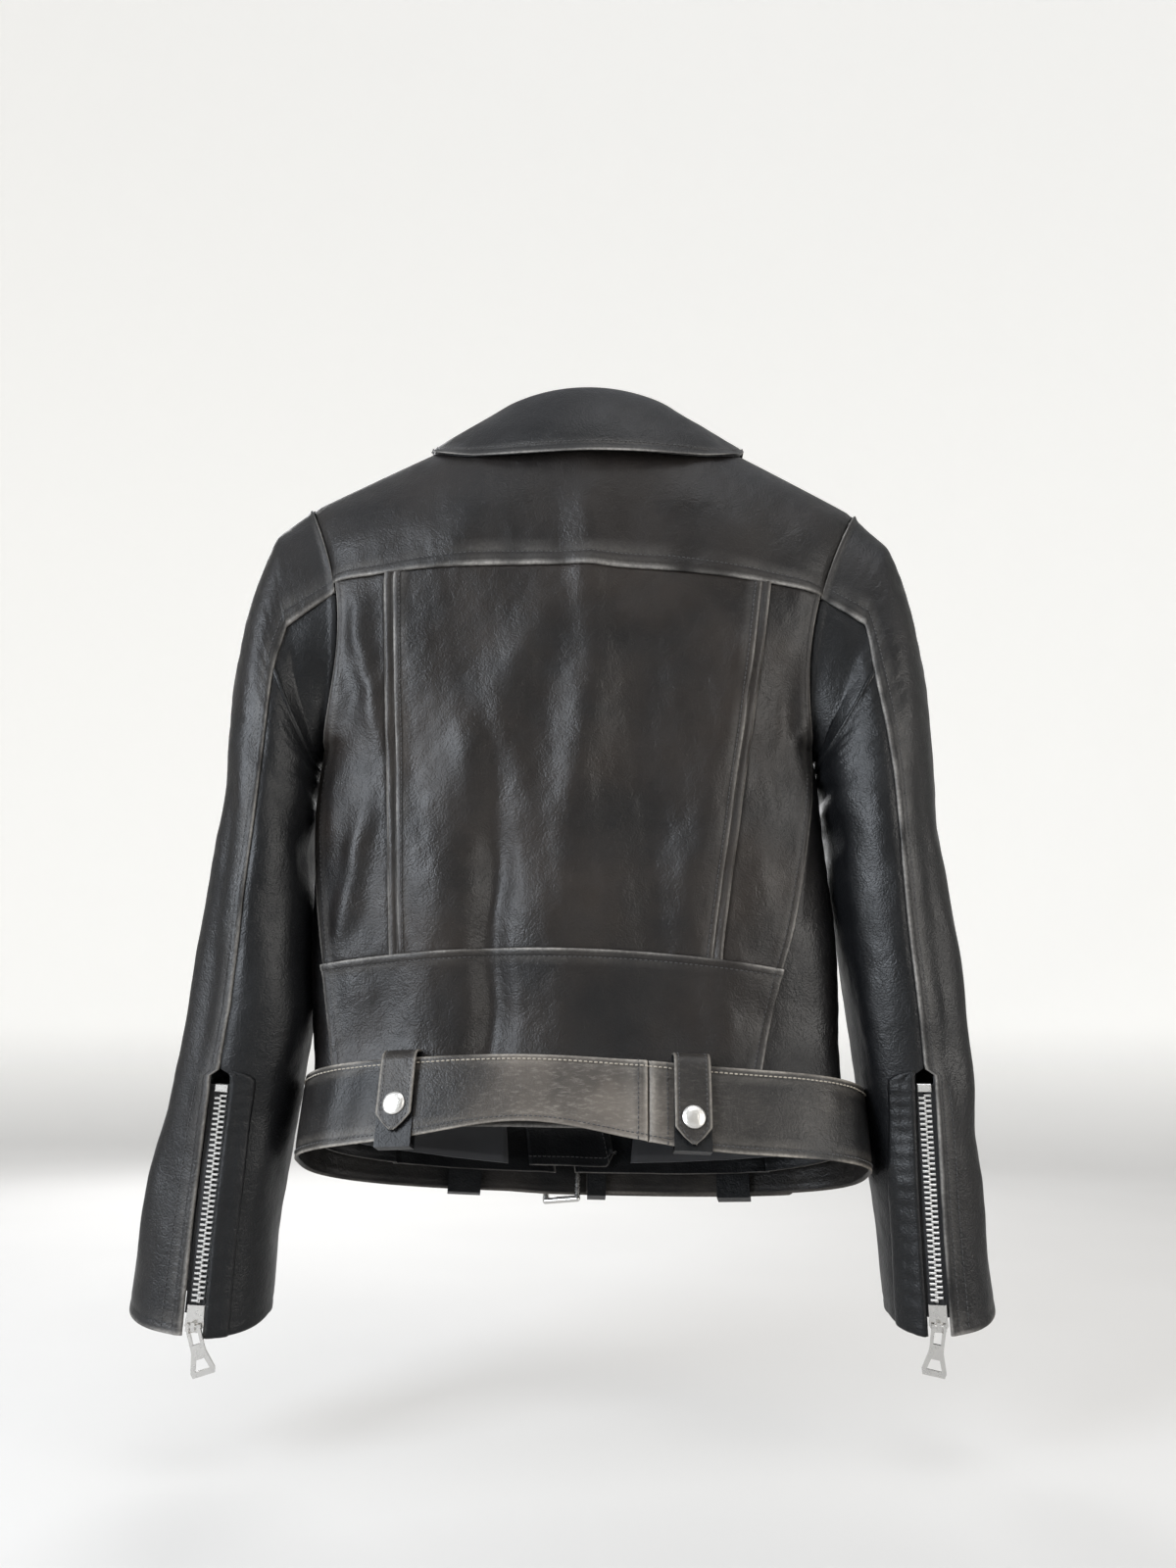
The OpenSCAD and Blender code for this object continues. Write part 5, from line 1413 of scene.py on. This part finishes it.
# ---------------------------------------------------------------- straps with a profile
def belt_frame_at(face, x, out=0.0):
    a = belt_angle(face, x)
    p = np.array(belt_pt(np.array(a), out) + (0.0,))
    q = np.array(belt_pt(np.array(a + math.radians(1)), out) + (0.0,))
    along = (q - p) / np.linalg.norm(q - p) * -face
    n = np.cross(along, [0, 0, 1.0])
    if n[0] * p[0] + n[1] * p[1] < 0:
        n = -n
    return from_belt(p), BELT_AXES @ along, BELT_AXES @ np.cross(n, along), BELT_AXES @ n


def ribbon(name, centre, half_widths, place, thick, material, tone=0.0, free_ends=(True, True), rows=15):
    """Strap along a centre line of (y, z) points in a frame (o, x, y, z); its edges are rounded."""
    o, ax, ay, az = place
    path = np.array(centre, float)
    seg = np.linalg.norm(np.diff(path, axis=0), axis=1)
    s = np.concatenate([[0], np.cumsum(seg)])
    marks = np.unique(np.concatenate([np.arange(0, s[-1], 1.4), [s[-1]]]))
    y, z = np.interp(marks, s, path[:, 0]), np.interp(marks, s, path[:, 1])
    width = np.interp(marks, s, half_widths)
    t = np.concatenate([[-1, -0.97, -0.92, -0.84], np.linspace(-0.7, 0.7, rows - 8), [0.84, 0.92, 0.97, 1]])
    ty, tz = np.gradient(y), np.gradient(z)
    norm = np.hypot(ty, tz)
    ny, nz = -tz / norm, ty / norm
    if np.mean(nz) < 0:
        ny, nz = -ny, -nz
    edge = (1 - np.abs(t)) * np.mean(half_widths)
    rise = 0.5 * np.sqrt(1 - (1 - clamp01(edge / 0.9)) ** 2) - 0.18 * bump(edge, 3.0, 0.6)
    pts = (o + np.outer(y, ay)[:, None] + np.outer(z, az)[:, None]
           + (width[:, None] * t)[..., None] * ax
           + rise[None, :, None] * (ny[:, None, None] * ay + nz[:, None, None] * az))
    lighter = np.broadcast_to(0.6 * bump(edge, 0.5, 0.7), (len(marks), len(t)))
    ends = bump(np.minimum(marks, s[-1] - marks), 0, 1.2)[:, None] * 0.4
    outward = ny.mean() * ay + nz.mean() * az
    obj = sheet(name, pts, thick, material, clamp01(lighter + ends), np.full(lighter.shape, tone), outward)
    rowpaths = []
    for k in (-1, 1):
        inset = (width - 3.0)[:, None] * k * ax
        base = o + np.outer(y, ay) + np.outer(z, az) + inset
        up = ny[:, None] * ay + nz[:, None] * az
        rowpaths.append((base + up * 0.4, base + up * 1.4))
    return obj, rowpaths


# ---------------------------------------------------------------- zips
TAPE_SINK = 3.0
TAPE_T = 0.8
TOOTH_PITCH = 3.2
SLEEVE_ZIP_LEN = 130.0


def body_normal(face, x, z):
    q0 = body_flat(face, x, z, 0)
    q1 = body_flat(face, x, z, 1)
    return unit(q1 - q0)


def body_flat(face, x, z, lift):
    """Like body_at, without the relief, for hardware that the CAD places."""
    x, z = np.array(float(x)), np.array(float(z))
    d = 0.8
    sx = (body_depth(face, x + d, z) - body_depth(face, x - d, z)) / (2 * d)
    sz = (body_depth(face, x, z + d) - body_depth(face, x, z - d)) / (2 * d)
    n = unit(np.array([-sx, 1.0, -sz]))
    return np.array([x + n[0] * lift, MID_Y + face * (body_depth(face, x, z) + n[1] * lift), z + n[2] * lift])


def line_frame(a, b, n, sink):
    x = unit(b - a)
    z = unit(n - np.dot(n, x) * x)
    return a - z * sink, x, np.cross(z, x), z


def sleeve_zip_frame(side):
    pt = lambda v: sleeve_base(side, back_seam_angle(side, np.array(v)), np.array(v))
    a, b = pt(ZIP_TOP_V), pt(CUFF_V - 0.03)
    mid = back_seam_angle(side, np.array(7.1))
    low, turn = np.array(7.1), math.radians(6)
    across = sleeve_base(side, mid - turn, low) - sleeve_base(side, mid + turn, low)
    n = np.cross(b - a, across)
    return line_frame(a, b, n if n[1] > 0 else -n, TAPE_SINK)


def front_zip_frame():
    a, b = body_flat(-1, *ZIP_FOOT, 0), body_flat(-1, *BREAK, 0)
    return line_frame(a, b, body_normal(-1, zip_line_x(-370.0), -370.0), TAPE_SINK)


def pocket_frame(side):
    top, low = pocket_line(side)
    a, b = body_flat(-1, *top, 0), body_flat(-1, *low, 0)
    m = (top + low) / 2
    return line_frame(a, b, body_normal(-1, *m), TAPE_SINK + 0.3)


def pocket_welt(side, name):
    """Leather ring round a pocket's zip, with a stitch row along it."""
    top, low = pocket_line(side)
    d = (low - top) / np.linalg.norm(low - top)
    across = np.array([d[1], -d[0]])
    run = POCKET_LEN + 19
    turn = np.linspace(0, math.pi, 13)
    straight_up = np.linspace(0, run, 60)[1:-1] - 4
    core = np.concatenate([np.full(13, -4.0), straight_up, np.full(13, run - 4.0), straight_up[::-1]])
    outx = np.concatenate([-np.sin(turn), 0 * straight_up, np.sin(turn), 0 * straight_up])
    outy = np.concatenate([-np.cos(turn), 0 * straight_up + 1, np.cos(turn), 0 * straight_up - 1])
    core, outx, outy = (np.append(q, q[0]) for q in (core, outx, outy))
    radii = np.array([5.4, 5.7, 6.2, 7.0, 8.2, 9.4, 10.6, 11.6, 12.1, 12.4])
    lift = np.array([-0.4, 0.5, 0.75, 0.8, 0.7, 0.4, 0.7, 0.65, 0.3, -0.5])

    def ring(radius, rise):
        along, off = core + outx * radius, outy * radius
        x = top[0] + d[0] * along + across[0] * off
        z = top[1] + d[1] * along + across[1] * off
        depth = body_depth(-1, x, z)
        return np.stack([x, MID_Y - depth - rise, z], -1)
    rows = [ring(r, h) for r, h in zip(radii, lift)]
    p = np.stack(rows, 1)
    lighter = np.broadcast_to(0.6 * bump(radii, 5.8, 0.5) + 0.25 * bump(radii, 12.0, 0.4), p.shape[:2])
    obj = sheet(name, p, 0.8, LEATHER, lighter, np.full(p.shape[:2], 0.2), outward=(0, -1, 0))
    return obj, [(ring(9.4, 0.6), ring(9.4, 1.6))]


def in_frame(place, p):
    o, x, y, z = place
    p = np.asarray(p, float)
    return o + p[..., :1] * x + p[..., 1:2] * y + p[..., 2:3] * z


def zip_teeth(name, place, length, material):
    """Separate cast teeth on both sides of a chain, and the stop at its closed end."""
    count = int((length - 4) / TOOTH_PITCH)
    points, faces = [], []
    base = 0

    def block(x0, x1, y0, y1, z0, z1, chamfer):
        nonlocal base
        c = chamfer
        rings = [
            (x0, x1, y0, y1, z0), (x0, x1, y0, y1, z1 - c),
            (x0 + c, x1 - c, min(y0, y1) + c, max(y0, y1) - c, z1),
        ]
        for a0, a1, b0, b1, z in rings:
            b0, b1 = min(b0, b1), max(b0, b1)
            points.extend([(a0, b0, z), (a1, b0, z), (a1, b1, z), (a0, b1, z)])
        for r in range(2):
            for e in range(4):
                f = (e + 1) % 4
                faces.append((base + r * 4 + e, base + r * 4 + f, base + r * 4 + 4 + f, base + r * 4 + 4 + e))
        faces.append((base + 3, base + 2, base + 1, base))
        faces.append((base + 8, base + 9, base + 10, base + 11))
        base += 12

    z0, z1 = TAPE_T + 0.05, TAPE_T + 2.05
    for side in (1, -1):
        shift = 1 if side > 0 else 1 + TOOTH_PITCH / 2
        for i in range(count):
            x = shift + i * TOOTH_PITCH
            block(x, x + 1.42, side * -0.62, side * 3.9, z0, z1, 0.32)
    block(-5.6, -0.6, -4.3, 4.3, z0, z1 + 0.6, 0.5)
    obj = new_mesh(name, in_frame(place, np.array(points)), faces, material, smooth_shade=False)
    return obj


def zip_tape(name, place, length, run_on, half, material):
    """Two woven strips with a raised cord beside the teeth."""
    xs = np.arange(-5, length + run_on + 0.1, 2.5)
    objs = []
    for side in (1, -1):
        ys = side * np.array([0.9, 1.5, 2.4, 3.4, 3.9, 4.4, 4.9, 5.6, half - 0.3, half])
        zs = TAPE_T + np.array([0, 0, 0, 0.05, 0.7, 0.85, 0.3, 0.0, 0.0, -0.2])
        p = np.stack([np.broadcast_to(xs[:, None], (len(xs), 10)), np.broadcast_to(ys, (len(xs), 10)),
                      np.broadcast_to(zs, (len(xs), 10))], -1)
        letter = "a" if side > 0 else "b"
        objs.append(sheet(f"{name}_{letter}", in_frame(place, p), 0.6, material, outward=place[3]))
    return objs


# ---------------------------------------------------------------- put together
JACKET = "jacket_body"


def ride_all(objs, body):
    for o in objs:
        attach(o, body)


def build_panels(parts, material, thick=1.3):
    return {p.name: p.build(thick, material) for p in parts}


def join_sleeve(obj):
    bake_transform(obj)


def dress(node, material, bevel=0.0, segments=2):
    """Gives a carried-over CAD node its material and soft edges."""
    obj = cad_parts[node]
    obj.data.materials.clear()
    obj.data.materials.append(material)
    if bevel:
        mod = obj.modifiers.new("soft_edges", "BEVEL")
        mod.width = bevel * MM
        mod.segments = segments
        mod.limit_method = "ANGLE"
        mod.angle_limit = math.radians(35)
        mod.harden_normals = True
    return obj


def settle_leather():
    for way in (1, -1):
        settle_body(way)
        settle_sleeve(way)


def replace_all(nodes):
    for piece, node in nodes.items():
        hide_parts(node)


def put_body():
    """Leather of the body, the lapels and the collar, with its stitches."""
    back, back_paths = build_back()
    sides = build_sides()
    fronts, front_paths = build_fronts()
    lap, lap_paths = build_underlap()
    lapels, lapel_paths = build_lapels()
    fall, stand, collar_paths = build_collar()
    made = build_panels(back + sides + fronts + lap, LEATHER)
    made.update(build_panels(lapels, LEATHER, 1.8))
    made.update(build_panels([fall], LEATHER, 2.4))
    made.update(build_panels([stand], LEATHER, 1.2))
    ride_all(made.values(), JACKET)
    nodes = {"yoke": "back_yoke", "back_centre": "back_centre_panel", "waist_panel": "back_waist_panel",
             "underlap_leather": "front_underlap", "collar_fall_leather": "collar_fall",
             "collar_stand_leather": "collar_stand"}
    for _, k in SIDES:
        nodes[f"back_side_{k}"] = f"back_side_panel_{k}"
        nodes[f"side_panel_{k}_leather"] = f"side_panel_{k}"
        nodes[f"front_{k}_leather"] = f"front_panel_{k}"
        nodes[f"lapel_{k}_leather"] = f"lapel_{k}"
    replace_all(nodes)
    ride_all([stitch_object("back_stitches", back_paths, THREAD),
              stitch_object("front_stitches", front_paths + lap_paths, THREAD),
              stitch_object("collar_stitches", collar_paths + lapel_paths, THREAD)], JACKET)
    ride_all([shoulder_seam(side, f"shoulder_seam_{k}") for side, k in SIDES], JACKET)


def put_sleeve(side, k):
    """Leather, stitches and satin of a sleeve."""
    parts, paths = build_sleeve(side, k)
    pieces = build_panels(parts, LEATHER)
    rows = stitch_object(f"sleeve_stitches_{k}", paths, THREAD)
    satin = build_sleeve_lining(side, k).build(0.6, LINING)
    for obj in [*pieces.values(), rows, satin]:
        join_sleeve(obj)
    replace_all({f"top_sleeve_{k}_leather": f"top_sleeve_{k}",
                         f"under_sleeve_{k}_leather": f"under_sleeve_{k}",
                         f"gusset_{k}_leather": f"sleeve_gusset_{k}"})
    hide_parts(f"sleeve_lining_{k}")


def put_zip(name, place, length, run_on, half, body, teeth_node, tape_node=None):
    """Teeth and both tapes of a zip."""
    teeth = zip_teeth(f"{name[0]}_teeth{name[1]}", place, length, TEETH)
    ride_all([teeth], body)
    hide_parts(teeth_node)
    tapes = zip_tape(f"{name[0]}_tape{name[1]}", place, length, run_on, half, TAPE)
    ride_all(tapes, body)
    if tape_node:
        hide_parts(tape_node)


def put_zips():
    length = float(np.linalg.norm(BREAK - ZIP_FOOT)) - 16
    put_zip(("front", ""), front_zip_frame(), length, 12, 6.6, JACKET, "front_zip_teeth", "front_zip_tape")
    for side, k in SIDES:
        put_zip(("sleeve", f"_{k}"), sleeve_zip_frame(side), SLEEVE_ZIP_LEN, 3, 7.4, f"{k}_sleeve",
                f"sleeve_zip_teeth_{k}", f"sleeve_zip_tape_{k}")
        put_zip(("pocket", f"_{k}"), pocket_frame(side), POCKET_LEN, 14, 6.4, JACKET, f"pocket_zip_{k}")
        welt, rows = pocket_welt(side, f"pocket_welt_{k}")
        ride_all([welt, stitch_object(f"pocket_stitches_{k}", rows, THREAD)], JACKET)


def put_body_lining():
    linings = build_panels(build_body_lining(), LINING, 0.6)
    ride_all(linings.values(), JACKET)
    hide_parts("body_lining")


def tab_frame(k):
    o, x, _, z = belt_frame_at(1, LOOP_X[k])
    return o, x, np.cross(z, x), z


def put_tab(k, name):
    """Pointed strap of a back loop, which opens about its upper fold."""
    low = STUD_Y[k] - 16
    centre = [(32, -4.6), (30.5, 1.5), (27.5, 4.6), (24, 5.7), (low + 10, 5.7), (low + 4, 5.7), (low, 5.7)]
    halves = [LOOP_HALF] * 5 + [LOOP_HALF * 0.55, 1.4]
    tab, rows = ribbon(f"tab_{name}_leather", centre, halves, tab_frame(k), 1.7, BELT_LEATHER, 0.25)
    ride_all([tab, stitch_object(f"tab_stitches_{name}", rows, THREAD, pitch=3.0, length=2.2)],
             f"{name}_loop_tab")
    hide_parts(f"loop_tab_{name}")


def put_belt():
    buckle_side, tip_side, pale_rows, dark_rows = build_belt()
    straps = [strap.build(BELT_T - 0.3, BELT_LEATHER) for strap in (buckle_side, tip_side)]
    for strap, node in zip(straps, ("belt_buckle_strap", "belt_tip_strap")):
        tone_belt(strap)
        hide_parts(node)
    upper = stitch_object("belt_stitches_upper", pale_rows, PALE_THREAD, pitch=3.2, length=2.5, radius=0.5)
    lower = stitch_object("belt_stitches_lower", dark_rows, THREAD, pitch=3.0, length=2.3, radius=0.4)
    ride_all(straps + [upper, lower], JACKET)


def dress_cad_parts():
    """Materials and soft edges of the pieces that stay as they are in the CAD."""
    for _, k in SIDES:
        for kind in ("sleeve_zip", "pocket"):
            dress(f"{kind}_slider_{k}", NICKEL, 0.35)
            dress(f"{kind}_puller_{k}", NICKEL, 0.4)
        dress(f"lapel_snap_{k}", NICKEL)
        dress(f"tab_snap_{k}", PEARL)
    for n in ("front_zip_slider", "front_zip_puller"):
        dress(n, NICKEL, 0.4)
    for n in ("buckle_frame", "buckle_prong", "collar_snaps", "coin_pocket_snap"):
        dress(n, NICKEL)
    for n in ("belt_keeper", "belt_loops_front", "belt_loops_back", "hanging_loop"):
        dress(n, BELT_LEATHER, 0.5)
    dress("pocket_bags", LINING)
    dress("coin_pocket", LEATHER)
    dress("coin_pocket_flap", LEATHER)


# ---------------------------------------------------------------- stage
FLOOR_Z = -0.70        # metres, as everything on the stage
FLOOR_FLAT = 2.0
BOWL_ROUND = 1.4
BOWL_HEIGHT = 5.2
STAGE_MIDDLE = (0, -0.03, -0.3)
LIGHTS = [
    ("window", (1.3, 1.15, 0.15), (0.8, 1.5), 40, (0.86, 0.92, 1.0)),
    ("overhead", (-0.3, 0.75, 1.3), (1.2, 0.8), 6, (0.97, 0.98, 1.0)),
    ("side_fill", (-1.45, 1.0, -0.1), (0.7, 1.4), 15, (1.0, 0.97, 0.93)),
    ("front_fill", (0.6, -1.6, 0.5), (1.0, 1.2), 22, (0.97, 0.98, 1.0)),
]
CAMERA_AT = (0, 0.780, -0.440)
CAMERA_PITCH = math.radians(12.3)
CAMERA_LENS = 27


def floor_look():
    """Grey near the floor, pale above it, with a glow that only the camera sees."""
    mat, nodes, links, shader = node_material("pale_floor")
    place = nodes.new("ShaderNodeTexCoord").outputs["Object"]
    height_above = nodes.new("ShaderNodeSeparateXYZ")
    links.new(place, height_above.inputs[0])
    rise = ramp(nodes, links, height_above.outputs["Z"], FLOOR_Z, FLOOR_Z + 0.3)
    mottle = noise(nodes, links, place, 3, 2)
    floor_tint = blend_colour(nodes, links, mottle, (0.50, 0.49, 0.475), (0.55, 0.54, 0.525))
    tint = blend_colour(nodes, links, rise, floor_tint, (0.74, 0.73, 0.70))
    links.new(tint, shader.inputs["Base Color"])
    shader.inputs["Roughness"].default_value = 0.9
    seen = nodes.new("ShaderNodeLightPath").outputs["Is Camera Ray"]
    links.new(calc(nodes, links, "MULTIPLY", seen, ramp(nodes, links, rise, 0, 1, 0.20, 0.44)),
              shader.inputs["Emission Strength"])
    shader.inputs["Emission Color"].default_value = (1.0, 0.985, 0.955, 1)
    return mat


def build_stage():
    """A pale bowl: a flat floor that curves up into an even wall all round."""
    profile = [(FLOOR_FLAT, 0.0)]
    for t in np.linspace(0, math.pi / 2, 13)[1:]:
        profile.append((FLOOR_FLAT + BOWL_ROUND * math.sin(t), BOWL_ROUND * (1 - math.cos(t))))
    profile.append((FLOOR_FLAT + BOWL_ROUND, BOWL_HEIGHT))
    count = 96
    turn = np.arange(count) * 2 * math.pi / count
    points = [(0, 0, FLOOR_Z / MM)]
    for r, z in profile:
        points += [(r / MM * math.cos(t), r / MM * math.sin(t), (FLOOR_Z + z) / MM) for t in turn]
    faces = [(0, 1 + j, 1 + (j + 1) % count) for j in range(count)]
    for i in range(len(profile) - 1):
        s0, s1 = 1 + i * count, 1 + (i + 1) * count
        faces += [(s0 + j, s1 + j, s1 + (j + 1) % count, s0 + (j + 1) % count) for j in range(count)]
    new_mesh("studio_floor", points, faces, floor_look())


def area_light(name, place, size, watts, colour):
    light = bpy.data.lights.new(name, "AREA")
    light.shape = "RECTANGLE"
    light.size, light.size_y = size
    light.energy = watts
    light.color = colour
    obj = bpy.data.objects.new(name, light)
    bpy.context.scene.collection.objects.link(obj)
    obj.location = place
    obj.rotation_mode = "QUATERNION"
    obj.rotation_quaternion = (Vector(STAGE_MIDDLE) - Vector(place)).to_track_quat("-Z", "Y")


def build_lights():
    world = bpy.data.worlds.new("studio")
    world.use_nodes = True
    background = world.node_tree.nodes["Background"]
    background.inputs["Color"].default_value = (0.93, 0.95, 1.0, 1)
    background.inputs["Strength"].default_value = 0.72
    bpy.context.scene.world = world
    for light in LIGHTS:
        area_light(*light)


def build_camera():
    """Stands where the photo's camera stood: behind the back, low, looking a little up."""
    cam = bpy.data.objects.new("photo_camera", bpy.data.cameras.new("photo_camera"))
    bpy.context.scene.collection.objects.link(cam)
    cam.location = CAMERA_AT
    cam.rotation_mode = "QUATERNION"
    gaze = Vector((0, -math.cos(CAMERA_PITCH), math.sin(CAMERA_PITCH)))
    cam.rotation_quaternion = gaze.to_track_quat("-Z", "Y")
    cam.data.sensor_width = 36
    cam.data.lens = CAMERA_LENS
    cam.data.clip_start, cam.data.clip_end = 0.01, 20
    bpy.context.scene.camera = cam


# ---------------------------------------------------------------- all of it
settle_leather()
put_body()
for way, which in SIDES:
    put_sleeve(way, which)
put_body_lining()
put_tab(0, "left")
put_tab(1, "right")
put_belt()
put_zips()
dress_cad_parts()
build_stage()
build_lights()
build_camera()
bpy.context.scene.view_settings.view_transform = "Standard"
